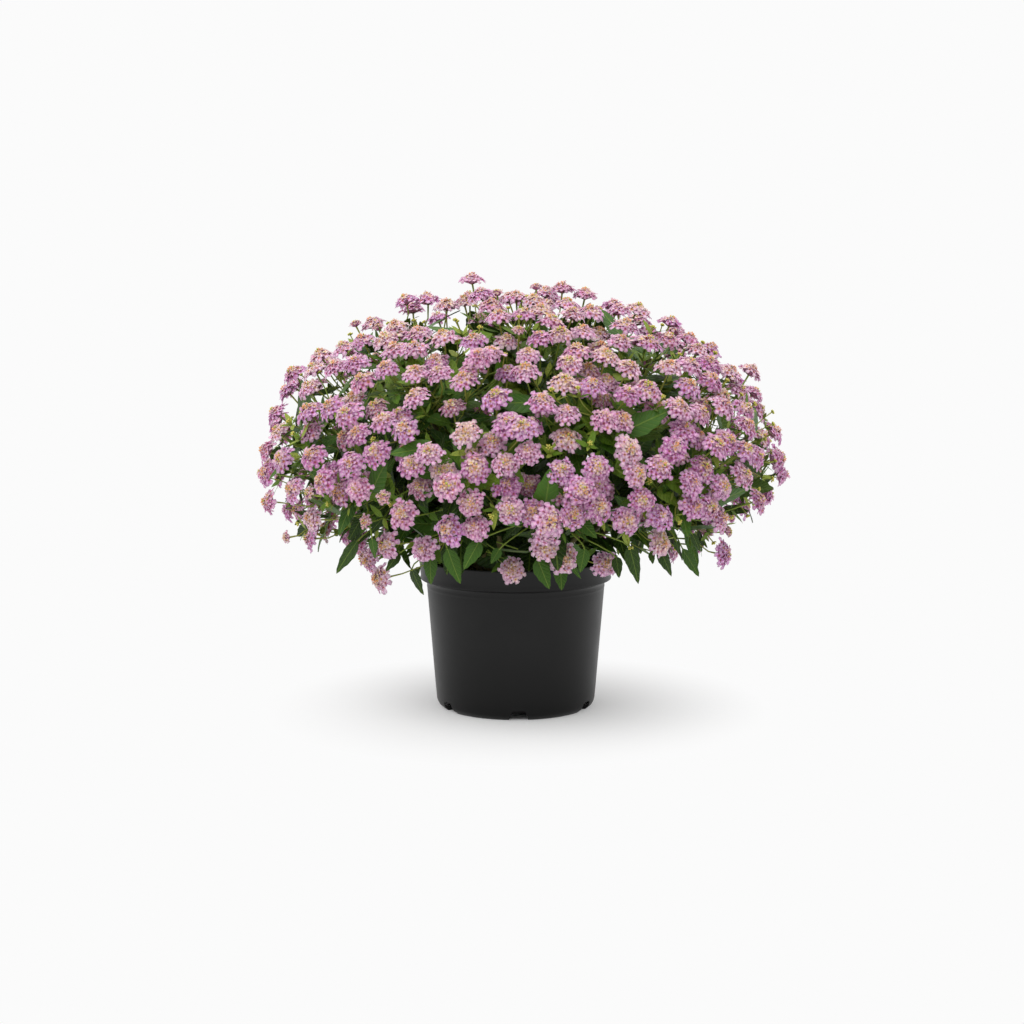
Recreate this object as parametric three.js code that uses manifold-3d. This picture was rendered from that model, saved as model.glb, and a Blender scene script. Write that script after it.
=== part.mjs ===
// A lantana in bloom in a round nursery pot.
// Millimetres, +Z up. The pot's axis is Z and its foot stands on z = 0. The front faces -Y.
import * as THREE from "three";
import { mergeVertices } from "three/addons/utils/BufferGeometryUtils.js";
import Module from "manifold-3d";

const wasm = await Module();
wasm.setup();

// ---------------------------------------------------------------- driving dimensions

// The pot, a thin-walled 19 cm nursery pot.
const POT_SIDES = 32;
const RIM_RADIUS = 95; // outer, at the mouth
const POT_HEIGHT = 147;
const LIP_DEPTH = 20; // the straight band round the mouth
const NECK_RADIUS = 87.6; // outer, just under the lip
const HEEL_RADIUS = 77; // outer, at the bottom edge
const FOOT_OUTER = 72;
const FOOT_INNER = 62;
const PAD_RADIUS = 24; // the round pad in the middle of the underside
const PAD_STEP = 3; // how far the underside is raised between pad and foot
const FLOOR_TOP = 5.5; // the inside of the floor, at its middle
const WALL = 1.5;

// The drain notches round the bottom edge.
const NOTCHES = 6;
const NOTCH_TURN = 2; // degrees from the front
const NOTCH_TOP_WIDTH = 13;
const NOTCH_FOOT_WIDTH = 19;
const NOTCH_HEIGHT = 8.5;

// The soil.
const SOIL_SIDES = 16;
const SOIL_EDGE = 132; // its height at the wall
const SOIL_CROWN = 134.5; // its height in the middle
const GAP = 0.3; // between touching pieces
const HAIR = 0.02; // corners nearer than this are one

// The crown of flowers: a wide dome, lower below its widest circle than above it.
const CENTRE = new THREE.Vector3(5, 0, 238);
const REACH = 252; // from the axis to the widest circle
const RISE = 165; // from the widest circle to the top
const DROP = 100; // from the widest circle down to where the dome would close
const LOWEST = 146; // degrees from the top of the dome to its lowest flowers

// The leafy stems.
const STEMS = 28;
const GOLDEN_TURN = 137.50776; // degrees from each stem to the next
const STEM_LOWEST = 148; // degrees from the top of the dome to the lowest stem's end
const STEM_TIP_DEPTH = 22; // from the dome in to the end of a stem
const STEM_PIECES = 4;
const STEM_ROOT_RADIUS = 3.1; // of the four-sided section, to its corners
const STEM_TIP_RADIUS = 1.9;
const ROOT_RING = [12, 50]; // the first root's distance from the axis, and how much further the last is
const ROOT_DEPTH = 26; // how deep a stem stands in its hole

// The flower heads.
const HEADS = 430;
const HEAD_SPACING = 24;
const HEAD_RADIUS = 13.6;
const FRONT_LOBES = 4;
const BACK_LOBES = 3;
const HEAD_VALLEY = 0.8; // the radius between two lobes, as a share of the lobes'
const STALK_RADIUS = 1.25;
const STALK_ROOT_RADIUS = 0.55; // of a stalk or leaf stalk where it starts, inside its stem

// The leaves.
const LEAVES = 84;
const LEAF_SPACING = 36;
const LEAF_LENGTH = 45;
const LEAF_WIDTH = 24;

// The front of the plant is laid by hand. Each place is where a line of sight from EYE crosses a
// plane square to it, FOCAL away, counted across and down from the plane's corner, MID from its middle.
// An s marks a small young head and a d a dull old one that is sunk among the leaves.
const EYE = new THREE.Vector3(-3.7, -1758, 399);
const PITCH = 6.72; // degrees down from level
const FOCAL = 1800;
const MID = 512;
const FRONT_HEADS = `
780,460 472,278 405,299 427,298 463,293 447,304 479,298 497,292s 491,304 498,315 516,296 534,299 536,286s
562,287 548,298 567,303 585,293 601,299 590,310 573,313 604,313 619,309 638,308 656,312 671,321
355,323s 375,320s 391,311 395,325 418,331 443,335 385,338 362,339 343,347 506,320 524,313 541,309
519,329s 552,320 561,332 583,330 540,337 473,339 626,324 622,340 649,341 669,338 690,338 698,349
604,334 577,349 593,351 528,353 490,352 507,354 469,354 414,347 394,348 431,348 320,354 293,372
313,368 335,366 355,362 385,367 361,379 344,388 308,387 365,395d 415,371 438,372 463,378 447,394d
480,365 525,369 569,362 587,368 565,381 593,384 609,385d 606,354 614,365 630,367 647,373d 670,366
690,364 709,362 712,379 731,371 752,370 746,386 729,391 690,385 628,393 648,387 665,399 697,399
545,392d 415,395 495,395 275,412 329,406 346,413 308,409 297,425 277,431 390,404d 382,420 404,428
330,430d 351,430 541,404 567,412 531,418 507,423 605,418 626,415 650,406d 676,409 702,412 725,406
746,408 715,393d 748,425 775,431 690,425 709,431 465,432 490,436 522,431 570,432 265,450 281,458
266,472 311,455 317,471 350,463 375,452 396,444 411,464 431,453 441,470 468,451 475,468 505,463
528,452 562,470 598,467 629,449 638,473 675,447 661,466 713,446 710,466 692,449d 729,440 746,449
758,456 745,474 761,473s 292,490 308,493s 326,480 328,496 357,489 341,487d 383,497s 412,488d
450,485 507,485 530,488d 568,494d 581,490 603,486 620,503d 643,500 693,483 695,506 724,486 727,501
760,500 711,507 402,514 470,503 510,510 533,516 550,514 574,514 600,507 722,518 661,516 627,520
365,522s 310,519 309,538 289,532s 475,527 447,529 548,532 590,525d 655,529 662,542 545,547 563,558
512,570 606,564 385,545 368,561 378,579 423,549 725,554 729,531s`;

// The leaves that hang below the flowers, each from its stalk's end to its point.
const HANGING_LEAVES = `
358,540 340,571 411,568 425,594 629,545 636,580 659,548 669,574 682,548 696,575 372,538 376,557
447,548 460,580 430,556 432,582 537,558 548,586 560,564 561,588 692,533 698,549 616,556 618,576
676,540 678,553 651,551 652,563 480,540 466,566 400,552 388,570 500,548 492,562 585,548 580,570`;

// ---------------------------------------------------------------- small helpers

const AXIS = new THREE.Vector3(0, 0, 1);
const radians = THREE.MathUtils.degToRad;

// Numbers from 0 to 1 that are the same on every run.
function draws(seed) {
  let state = seed;
  return () => {
    state = (state * 1664525 + 1013904223) % 4294967296;
    return state / 4294967296;
  };
}

function pairs(words) {
  return words
    .trim()
    .split(/\s+/)
    .map((word) => {
      const [across, down] = word.replace(/[sd]$/, "").split(",").map(Number);
      return { across, down, kind: word.match(/[sd]$/)?.[0] ?? "" };
    });
}

// A closed geometry as a solid, faces outward.
function solidOf(geometry) {
  geometry.deleteAttribute("normal");
  geometry.deleteAttribute("uv");
  const merged = mergeVertices(geometry, 1e-4);
  const vertProperties = merged.attributes.position.array;
  const triVerts = new Uint32Array(merged.index.array);
  const solid = new wasm.Manifold(new wasm.Mesh({ numProp: 3, vertProperties, triVerts }));
  if (solid.volume() > 0) return solid;
  for (let i = 0; i < triVerts.length; i += 3) {
    [triVerts[i], triVerts[i + 1]] = [triVerts[i + 1], triVerts[i]];
  }
  return new wasm.Manifold(new wasm.Mesh({ numProp: 3, vertProperties, triVerts }));
}

// A solid through rings of points, each ring joined to the next. A ring of one point is a tip.
function loft(rings) {
  const corners = [];
  const faces = [];
  const starts = rings.map((ring) => {
    const start = corners.length / 3;
    ring.forEach((point) => corners.push(point.x, point.y, point.z));
    return start;
  });
  for (let k = 0; k + 1 < rings.length; k += 1) {
    const [low, high] = [rings[k].length, rings[k + 1].length];
    let i = 0;
    let j = 0;
    while (i < low || j < high) {
      const a = starts[k] + (i % low);
      const b = starts[k + 1] + (j % high);
      if (j >= high || (i < low && (i + 1) / low <= (j + 1) / high)) {
        if (low > 1) faces.push(a, starts[k] + ((i + 1) % low), b);
        i += 1;
      } else {
        if (high > 1) faces.push(a, starts[k + 1] + ((j + 1) % high), b);
        j += 1;
      }
    }
  }
  const cap = (start, count, turned) => {
    for (let i = 1; i + 1 < count; i += 1) {
      faces.push(start, start + (turned ? i + 1 : i), start + (turned ? i : i + 1));
    }
  };
  cap(starts[0], rings[0].length, true);
  cap(starts.at(-1), rings.at(-1).length, false);
  const geometry = new THREE.BufferGeometry();
  geometry.setAttribute("position", new THREE.Float32BufferAttribute(corners, 3));
  geometry.setIndex(faces);
  return solidOf(geometry);
}

// A ring of points round a centre, square to a direction. It starts at the side vector, turned by phase.
function ring(centre, along, side, radii, lift = () => 0, phase = 0) {
  const across = side.clone().addScaledVector(along, -side.dot(along)).normalize();
  const other = along.clone().cross(across);
  return radii.map((radius, i) => {
    const angle = phase + (2 * Math.PI * i) / radii.length;
    return centre
      .clone()
      .addScaledVector(across, radius * Math.cos(angle))
      .addScaledVector(other, radius * Math.sin(angle))
      .addScaledVector(along, lift(i));
  });
}

function anySideOf(along) {
  return Math.abs(along.z) < 0.8 ? AXIS.clone() : new THREE.Vector3(1, 0, 0);
}

function lathe(profile, sides) {
  const points = profile.map(([r, z]) => new THREE.Vector2(r, z));
  return solidOf(new THREE.LatheGeometry(points, sides).rotateX(Math.PI / 2));
}

// ---------------------------------------------------------------- the dome

// A point of the dome, by its turn from the front and its fall from the top, in degrees.
function onDome(turn, fall) {
  const half = fall < 90 ? RISE : DROP;
  const radius = REACH * Math.sin(radians(fall));
  const height = half * Math.cos(radians(fall));
  return new THREE.Vector3(
    CENTRE.x + radius * Math.sin(radians(turn)),
    CENTRE.y - radius * Math.cos(radians(turn)),
    CENTRE.z + height,
  );
}

function outward(point) {
  const half = point.z > CENTRE.z ? RISE : DROP;
  return new THREE.Vector3(
    (point.x - CENTRE.x) / REACH ** 2,
    (point.y - CENTRE.y) / REACH ** 2,
    (point.z - CENTRE.z) / half ** 2,
  ).normalize();
}

// Where a line of sight first meets the dome, or passes nearest to it.
function sighted(across, down) {
  const x = (across - MID) / FOCAL;
  const y = (MID - down) / FOCAL;
  const [cos, sin] = [Math.cos(radians(PITCH)), Math.sin(radians(PITCH))];
  const ray = new THREE.Vector3(x, cos + y * sin, y * cos - sin);
  let point;
  for (const half of [RISE, DROP]) {
    const scale = new THREE.Vector3(1 / REACH, 1 / REACH, 1 / half);
    const from = EYE.clone().sub(CENTRE).multiply(scale);
    const step = ray.clone().multiply(scale);
    const a = step.lengthSq();
    const b = step.dot(from);
    const reach = (-b - Math.sqrt(Math.max(b * b - a * (from.lengthSq() - 1), 0))) / a;
    point = EYE.clone().addScaledVector(ray, reach);
    if (point.z >= CENTRE.z === (half === RISE)) break;
  }
  return point;
}

// ---------------------------------------------------------------- the flower heads' places

// A head looks out from the dome, hardly ever down, with a tilt of its own.
function faceAt(point, tilt) {
  const face = outward(point);
  face.z = Math.max(face.z, -0.06);
  face.normalize().addScaledVector(tilt, 0.34);
  return face.normalize();
}

function tiltFrom(draw) {
  return new THREE.Vector3(draw() - 0.5, draw() - 0.5, draw() - 0.5);
}

const SIZE_OF_KIND = { s: 0.66, d: 0.86 };
const DULL_DEPTH = 16;
const FRONT_LIFTS = [0, -7, 6, -13, -19, 11]; // tried in turn until a head is clear of the others
const FRONT_CLEAR = 21;

function nearest(point, heads) {
  return heads.reduce((least, head) => Math.min(least, head.at.distanceTo(point)), 99);
}

function frontHeads() {
  const heads = [];
  const draw = draws(5);
  pairs(FRONT_HEADS).forEach(({ across, down, kind }) => {
    const skin = sighted(across, down);
    const face = faceAt(skin, tiltFrom(draw));
    const size = SIZE_OF_KIND[kind] ?? 0.92 + 0.14 * draw();
    const base = kind === "d" ? -DULL_DEPTH : 0;
    let best = null;
    for (const lift of FRONT_LIFTS) {
      const at = skin.clone().addScaledVector(outward(skin), base + lift);
      const room = nearest(at, heads);
      if (!best || room > best.room) best = { at, room };
      if (room >= FRONT_CLEAR) break;
    }
    heads.push({ at: best.at, face, size, skin, lobes: FRONT_LOBES });
  });
  return heads;
}

// The rest of the dome, behind the front, is filled by draws that keep their distance.
const FRONT_EDGE = 60; // heads drawn behind stay this far behind the front, or further
const FRONT_LEAN = 0.12;

function allHeads() {
  const heads = frontHeads();
  const draw = draws(11);
  const cap = 1 - Math.cos(radians(LOWEST));
  for (let tries = 0; heads.length < HEADS && tries < 40000; tries += 1) {
    const turn = draw() * 360;
    const fall = THREE.MathUtils.radToDeg(Math.acos(1 - cap * draw()));
    const sink = draw();
    const size = 0.88 + 0.18 * draw();
    const tilt = tiltFrom(draw);
    const skin = onDome(turn, fall);
    const out = outward(skin);
    if (out.y < -FRONT_LEAN || skin.y < -FRONT_EDGE) continue;
    const at = skin.clone().addScaledVector(out, 7 - 24 * sink * sink);
    if (nearest(at, heads) < HEAD_SPACING) continue;
    heads.push({ at, face: faceAt(skin, tilt), size, skin, lobes: BACK_LOBES });
  }
  return heads;
}

// ---------------------------------------------------------------- the stems' places

// Stems rise from the soil like a fountain: the outer the root, the lower the stem's end.
function stemCourses() {
  const cap = 1 - Math.cos(radians(STEM_LOWEST));
  return Array.from({ length: STEMS }, (_, k) => {
    const turn = k * GOLDEN_TURN;
    const fall = THREE.MathUtils.radToDeg(Math.acos(1 - (cap * (k + 0.5)) / STEMS));
    const share = fall / STEM_LOWEST;
    const rootRadius = ROOT_RING[0] + ROOT_RING[1] * share;
    const heading = new THREE.Vector3(Math.sin(radians(turn)), -Math.cos(radians(turn)), 0);
    const root = heading.clone().multiplyScalar(rootRadius).setZ(SOIL_EDGE + 4);
    const skin = onDome(turn, fall);
    const end = skin.clone().addScaledVector(outward(skin), -STEM_TIP_DEPTH);
    const bend = root.clone().lerp(end, 0.45).setZ(245 - 30 * share);
    const curve = new THREE.QuadraticBezierCurve3(root, bend, end);
    const side = new THREE.Vector3(heading.y, -heading.x, 0);
    return { curve, skin, side, root, used: [] };
  });
}

function stemRadius(t) {
  return THREE.MathUtils.lerp(STEM_ROOT_RADIUS, STEM_TIP_RADIUS, t);
}

// A point of a stem as it is built, in straight pieces.
function onStem(course, t) {
  const at = Math.min(t * STEM_PIECES, STEM_PIECES - 1e-6);
  const low = Math.floor(at);
  const from = course.curve.getPoint(low / STEM_PIECES);
  const to = course.curve.getPoint((low + 1) / STEM_PIECES);
  return from.lerp(to, at - low);
}

// A four-sided section with two of its flat sides in the plane of the stem's curve.
function square(centre, along, side, radius) {
  return ring(centre, along, side, Array(4).fill(radius), () => 0, Math.PI / 4);
}

function stemSolid(course) {
  const foot = course.root.clone().setZ(course.root.z - ROOT_DEPTH);
  const rings = [square(foot, AXIS, course.side, STEM_ROOT_RADIUS)];
  for (let i = 0; i <= STEM_PIECES; i += 1) {
    const t = i / STEM_PIECES;
    const along = i === 0 ? AXIS : course.curve.getTangent(t);
    rings.push(square(course.curve.getPoint(t), along, course.side, stemRadius(t)));
  }
  return loft(rings);
}

// ---------------------------------------------------------------- the pot and the soil

function notch(turn) {
  const top = NOTCH_TOP_WIDTH / 2;
  const foot = NOTCH_FOOT_WIDTH / 2;
  const outline = new THREE.Shape([
    new THREE.Vector2(-foot, -1),
    new THREE.Vector2(foot, -1),
    new THREE.Vector2(top, NOTCH_HEIGHT),
    new THREE.Vector2(-top, NOTCH_HEIGHT),
  ]);
  const depth = 32;
  const cut = new THREE.ExtrudeGeometry(outline, { depth, bevelEnabled: false });
  cut.rotateX(Math.PI / 2).translate(0, -(FOOT_INNER - 4), 0).rotateZ(radians(turn));
  return solidOf(cut);
}

function potSolid() {
  const lipFoot = POT_HEIGHT - LIP_DEPTH;
  const profile = [
    [0, 0],
    [PAD_RADIUS, 0],
    [PAD_RADIUS + 2, PAD_STEP],
    [FOOT_INNER - 2, PAD_STEP],
    [FOOT_INNER, 0],
    [FOOT_OUTER, 0],
    [HEEL_RADIUS, 6],
    [NECK_RADIUS, lipFoot - 2.5],
    [RIM_RADIUS - 0.6, lipFoot],
    [RIM_RADIUS, POT_HEIGHT],
    [RIM_RADIUS - WALL - 0.3, POT_HEIGHT],
    [RIM_RADIUS - WALL - 0.9, lipFoot + 2],
    [NECK_RADIUS - WALL, lipFoot - 1],
    [HEEL_RADIUS - WALL, FLOOR_TOP + 1],
    [0, FLOOR_TOP],
  ];
  let pot = lathe(profile, POT_SIDES);
  for (let i = 0; i < NOTCHES; i += 1) {
    pot = pot.subtract(notch(NOTCH_TURN + (360 / NOTCHES) * i));
  }
  return pot;
}

function soilSolid(courses) {
  const lipFoot = POT_HEIGHT - LIP_DEPTH;
  const profile = [
    [0, FLOOR_TOP + GAP],
    [HEEL_RADIUS - WALL - 0.8, FLOOR_TOP + 0.99 + GAP],
    [NECK_RADIUS - WALL - 0.75, lipFoot - 1.5],
    [RIM_RADIUS - WALL - 1.9, lipFoot + 3],
    [RIM_RADIUS - WALL - 1.9, SOIL_EDGE],
    [62, SOIL_EDGE + 1.4],
    [0, SOIL_CROWN],
  ];
  let soil = lathe(profile, SOIL_SIDES);
  courses.forEach(({ root, side }) => {
    const foot = root.clone().setZ(root.z - ROOT_DEPTH - GAP);
    const mouth = root.clone().setZ(SOIL_CROWN + 5);
    const hole = loft([foot, mouth].map((at) => square(at, AXIS, side, STEM_ROOT_RADIUS + 0.5)));
    soil = soil.subtract(hole);
  });
  return soil;
}

// ---------------------------------------------------------------- heads and leaves as solids

// One head on its stalk: a pleated umbrella of lobes on a three-sided stalk out of the stem.
function headSolid(head, foot, scale, spare = 0) {
  const radius = HEAD_RADIUS * head.size * scale;
  const stalk = STALK_RADIUS + spare;
  const neck = head.at.clone().addScaledVector(head.face, -8.5 * head.size);
  const along = neck.clone().sub(foot).normalize();
  const side = anySideOf(head.face);
  const tips = Array.from({ length: 2 * head.lobes }, (_, i) =>
    i % 2 ? HEAD_VALLEY * radius + spare : radius + spare,
  );
  const droop = (i) => (i % 2 ? 1 : -2.4) * head.size - spare / 2;
  return loft([
    ring(foot, along, side, Array(3).fill(STALK_ROOT_RADIUS)),
    ring(neck, along, side, Array(3).fill(stalk)),
    ring(head.at, head.face, side, tips, droop),
    [head.at.clone().addScaledVector(head.face, 5 * head.size + spare)],
  ]);
}

// One leaf: a folded blade, widest low down, pointed at its end, on a thin stalk out of the stem.
function leafSolid(leaf, foot, spare = 0) {
  const run = leaf.tip.clone().sub(leaf.base);
  const along = run.clone().normalize();
  const up = leaf.up.clone().addScaledVector(along, -leaf.up.dot(along)).normalize();
  const side = along.clone().cross(up);
  const section = (share, width, rise) => {
    const mid = leaf.base.clone().addScaledVector(run, share).addScaledVector(up, rise);
    return [
      mid.clone().addScaledVector(side, width + spare).addScaledVector(up, 0.22 * width),
      mid.clone().addScaledVector(up, -0.7 - spare),
      mid.clone().addScaledVector(side, -width - spare).addScaledVector(up, 0.22 * width),
      mid.clone().addScaledVector(up, 0.7 + spare),
    ];
  };
  const stalkAlong = leaf.base.clone().sub(foot).normalize();
  return loft([
    ring(foot, stalkAlong, side, Array(3).fill(STALK_ROOT_RADIUS)),
    ring(leaf.base, stalkAlong, side, Array(3).fill(0.95 + spare)),
    section(0.34, leaf.width / 2, 1.6),
    section(0.7, leaf.width * 0.31, 1.2),
    [leaf.tip.clone().addScaledVector(along, spare)],
  ]);
}

// ---------------------------------------------------------------- the leaves' places

// Leaves lie under the flowers and face out through the gaps between them.
function leafPlaces(heads, courses) {
  const leaves = [];
  const hanging = pairs(HANGING_LEAVES);
  for (let i = 0; i < hanging.length; i += 2) {
    const [from, to] = [hanging[i], hanging[i + 1]];
    const base = sighted(from.across, from.down);
    const out = outward(base).setZ(0).normalize();
    const tip = base.clone();
    const drop = ((to.down - from.down) / FOCAL) * -EYE.y;
    tip.x += ((to.across - from.across) / FOCAL) * -EYE.y;
    tip.z -= drop;
    tip.addScaledVector(out, 0.1 * drop);
    leaves.push({ base, tip, up: out, width: Math.min(17, 0.5 * drop + 3), skin: base });
  }
  const draw = draws(23);
  const cap = 1 - Math.cos(radians(LOWEST + 4));
  for (let tries = 0; leaves.length < LEAVES && tries < 40000; tries += 1) {
    const turn = draw() * 360;
    const fall = THREE.MathUtils.radToDeg(Math.acos(1 - cap * draw()));
    const swing = draw();
    const size = 0.85 + 0.3 * draw();
    const skin = onDome(turn, fall);
    const out = outward(skin);
    const mid = skin.clone().addScaledVector(out, -13);
    if (leaves.some((leaf) => leaf.mid && leaf.mid.distanceTo(mid) < LEAF_SPACING)) continue;
    if (nearest(skin, heads) < 15.5) continue;
    const stem = stemOf(skin, courses);
    const away = mid.clone().sub(onStem(courses[stem], 0.8));
    away.addScaledVector(out, -0.8 * away.dot(out)).normalize();
    away.applyAxisAngle(out, (swing - 0.5) * 1.4);
    const length = LEAF_LENGTH * size;
    const base = mid.clone().addScaledVector(away, -0.45 * length).addScaledVector(out, -3);
    const tip = mid.clone().addScaledVector(away, 0.55 * length).addScaledVector(out, 1);
    leaves.push({ base, tip, up: out, width: LEAF_WIDTH * size, skin, mid });
  }
  return leaves;
}

function stemOf(point, courses) {
  const reach = courses.map((course) => course.skin.distanceTo(point));
  return reach.indexOf(Math.min(...reach));
}

// ---------------------------------------------------------------- putting it together

// What is placed so far: each piece's solid, the box round it and the node it belongs to.
const placed = [];

// Whether a solid meets another node, or, where that is asked, another head or leaf of its own stem.
function touches(solid, owner, ownToo) {
  const box = solid.boundingBox();
  return placed.some((other) => {
    if (other.owner === owner && (!ownToo || other.isStem)) return false;
    for (let i = 0; i < 3; i += 1) {
      if (other.box.min[i] > box.max[i] || other.box.max[i] < box.min[i]) return false;
    }
    return solid.intersect(other.solid).volume() > 1e-4;
  });
}

function place(solid, owner, isStem = false) {
  placed.push({ solid, owner, isStem, box: solid.boundingBox() });
}

// The places along a stem where a stalk may leave it towards a target that looks a given way.
const STALK_PLACES = Array.from({ length: 30 }, (_, i) => 0.98 - 0.021 * i);

function feetFor(target, way, course, wish) {
  return STALK_PLACES.filter((t) => !course.used.includes(t))
    .map((t) => {
      const foot = onStem(course, t);
      const run = target.clone().sub(foot);
      const lean = THREE.MathUtils.radToDeg(run.angleTo(course.curve.getTangent(t)));
      const turn = THREE.MathUtils.radToDeg(run.angleTo(way));
      const cost = Math.abs(run.length() - wish) + Math.max(0, lean - 35) + 0.8 * Math.max(0, turn - 40);
      return { t, foot, cost, turn };
    })
    .filter(({ turn }) => turn < 105)
    .sort((a, b) => a.cost - b.cost);
}

// Sets a piece on its stem at the best place where it is clear of everything else. A head that finds
// no such place may grow into another head of its own stem, and a leaf is left out.
function setOn(course, stem, feet, shapes, mayMerge) {
  for (const ownToo of mayMerge ? [true, false] : [true]) {
    for (const shape of shapes) {
      const clear = feet.find(({ foot }) => !touches(shape(foot, 0.3), stem, ownToo));
      if (!clear) continue;
      place(shape(clear.foot, 0), stem);
      course.used.push(clear.t);
      return true;
    }
  }
  return false;
}

const HEAD_SCALES = [1, 0.86, 0.72, 0.6];
const LEAF_SINKS = [0, 6, 12, -5];

function addHead(head, courses) {
  const stem = stemOf(head.skin, courses);
  const neck = head.at.clone().addScaledVector(head.face, -8.5 * head.size);
  const feet = feetFor(neck, head.face, courses[stem], 46);
  const shapes = HEAD_SCALES.map((scale) => (foot, spare) => headSolid(head, foot, scale, spare));
  return setOn(courses[stem], stem, feet, shapes, true);
}

function addLeaf(leaf, courses) {
  const stem = stemOf(leaf.skin, courses);
  const feet = feetFor(leaf.base, leaf.tip.clone().sub(leaf.base), courses[stem], 24);
  const shapes = LEAF_SINKS.map((sink) => {
    const base = leaf.base.clone().addScaledVector(leaf.up, -sink);
    const tip = leaf.tip.clone().addScaledVector(leaf.up, -sink);
    return (foot, spare) => leafSolid({ ...leaf, base, tip }, foot, spare);
  });
  return setOn(courses[stem], stem, feet, shapes, false);
}

// Joining leaves some corners a hair apart. They become one, and the faces between them go.
function weld(solid) {
  const { vertProperties, triVerts } = solid.getMesh();
  const corners = [];
  for (let i = 0; i < vertProperties.length; i += 3) {
    corners.push(new THREE.Vector3().fromArray(vertProperties, i));
  }
  const keeper = corners.map((corner, i) => {
    const twin = corners.findIndex((other) => other.distanceTo(corner) < HAIR);
    return Math.min(twin, i);
  });
  const faces = [];
  for (let i = 0; i < triVerts.length; i += 3) {
    const face = [triVerts[i], triVerts[i + 1], triVerts[i + 2]].map((corner) => keeper[corner]);
    if (new Set(face).size === 3) faces.push(...face);
  }
  const geometry = new THREE.BufferGeometry();
  geometry.setAttribute("position", new THREE.BufferAttribute(vertProperties, 3));
  geometry.setIndex(faces);
  return solidOf(geometry);
}

function meshOf(name, solid, material) {
  const { numProp, vertProperties, triVerts } = solid.getMesh();
  const geometry = new THREE.BufferGeometry();
  geometry.setAttribute("position", new THREE.BufferAttribute(vertProperties, numProp));
  geometry.setIndex(new THREE.BufferAttribute(triVerts, 1));
  geometry.computeVertexNormals();
  const mesh = new THREE.Mesh(geometry, material);
  mesh.name = name;
  return mesh;
}

const BLACK_PLASTIC = { color: 0x26272a, roughness: 0.42, metalness: 0 };
const DARK_SOIL = { color: 0x2b2019, roughness: 1, metalness: 0 };
const MAUVE_BLOOM = { color: 0xac8192, roughness: 0.7, metalness: 0 };

const courses = stemCourses();
const heads = allHeads();
const pot = potSolid();
const soil = soilSolid(courses);
place(pot, "pot");
place(soil, "soil");
courses.forEach((course, k) => place(stemSolid(course), k, true));
heads.forEach((head) => addHead(head, courses));
leafPlaces(heads, courses).forEach((leaf) => addLeaf(leaf, courses));

const group = new THREE.Group();
group.name = "potted_lantana";
group.add(meshOf("pot", pot, new THREE.MeshStandardMaterial(BLACK_PLASTIC)));
group.add(meshOf("soil", soil, new THREE.MeshStandardMaterial(DARK_SOIL)));
courses.forEach((course, k) => {
  const pieces = placed.filter(({ owner }) => owner === k).map(({ solid }) => solid);
  const stem = weld(pieces.reduce((whole, piece) => whole.add(piece)));
  const name = `leafy_stem_${String(k + 1).padStart(2, "0")}`;
  group.add(meshOf(name, stem, new THREE.MeshStandardMaterial(MAUVE_BLOOM)));
});

export default group;
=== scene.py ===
# A lantana in bloom in a black nursery pot.
# Lengths are in millimetres while a shape is worked out, and in metres in its mesh.
import math
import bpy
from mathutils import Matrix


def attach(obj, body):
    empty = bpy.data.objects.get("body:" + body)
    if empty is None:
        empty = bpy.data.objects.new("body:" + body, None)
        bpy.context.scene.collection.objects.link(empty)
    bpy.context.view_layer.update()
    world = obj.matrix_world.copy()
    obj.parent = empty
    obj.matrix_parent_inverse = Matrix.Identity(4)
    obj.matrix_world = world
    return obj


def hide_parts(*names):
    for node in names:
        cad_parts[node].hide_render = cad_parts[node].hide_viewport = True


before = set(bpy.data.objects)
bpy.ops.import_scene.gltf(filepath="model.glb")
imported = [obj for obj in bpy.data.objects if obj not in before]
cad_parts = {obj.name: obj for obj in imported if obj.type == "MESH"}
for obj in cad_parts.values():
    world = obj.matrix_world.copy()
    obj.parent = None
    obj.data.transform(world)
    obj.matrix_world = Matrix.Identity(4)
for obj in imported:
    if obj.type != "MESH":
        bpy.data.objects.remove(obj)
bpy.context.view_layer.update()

from types import SimpleNamespace

import bmesh
import bpy
import numpy as np
from mathutils import Matrix, Vector

METRE = 0.001
TINY = 1e-6
# A turn is drawn from 0 to this, in radians: near enough a full one.
ANY_TURN = 6.28
# Things set one after another round a middle turn by this each time, in radians.
GOLDEN_ANGLE = 2.4

# How bright the room is, and the floor: its own tone, its glow, which is painted light that lifts the pot's
# shadow, and where it gives way to the room.
ROOM = 0.965
FLOOR_BASE, SHADOW_FILL_GLOW, FLOOR_FADE = 0.79, 0.154, (0.055, 0.25)
# From here out, in metres, the floor's painted glow is on, and further in it is off, so the floor is dark
# under the pot.
UNDER_POT = (0.064, 0.074)

# ------------------------------------------------------------------ driving dimensions

# The pot's, as in the part but for a wall, heel and notches that are nearer the real ones.
RIM_RADIUS, POT_HEIGHT, LIP_DEPTH = 95.0, 147.0, 20.0
NECK_RADIUS, HEEL_RADIUS = 87.3, 78.5
FOOT_OUTER, FOOT_INNER = 72.0, 62.0
PAD_RADIUS, PAD_STEP = 24.0, 3.0
FLOOR_TOP, WALL = 5.5, 1.5
NOTCHES, NOTCH_TURN = 6, 2.0
NOTCH_TOP_WIDTH, NOTCH_FOOT_WIDTH, NOTCH_HEIGHT = 12.2, 17.6, 10.0
SOIL_EDGE, SOIL_CROWN = 132.0, 134.5

# The plant's, all as in the part: the dome that the flowers cover, how far it goes out, up and down from its
# centre, and how far from its top the lowest flowers are, in degrees.
CENTRE = np.array([5.0, 0.0, 238.0])
REACH, RISE, DROP = 252.0, 165.0, 100.0
LOWEST = 146.0

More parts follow.
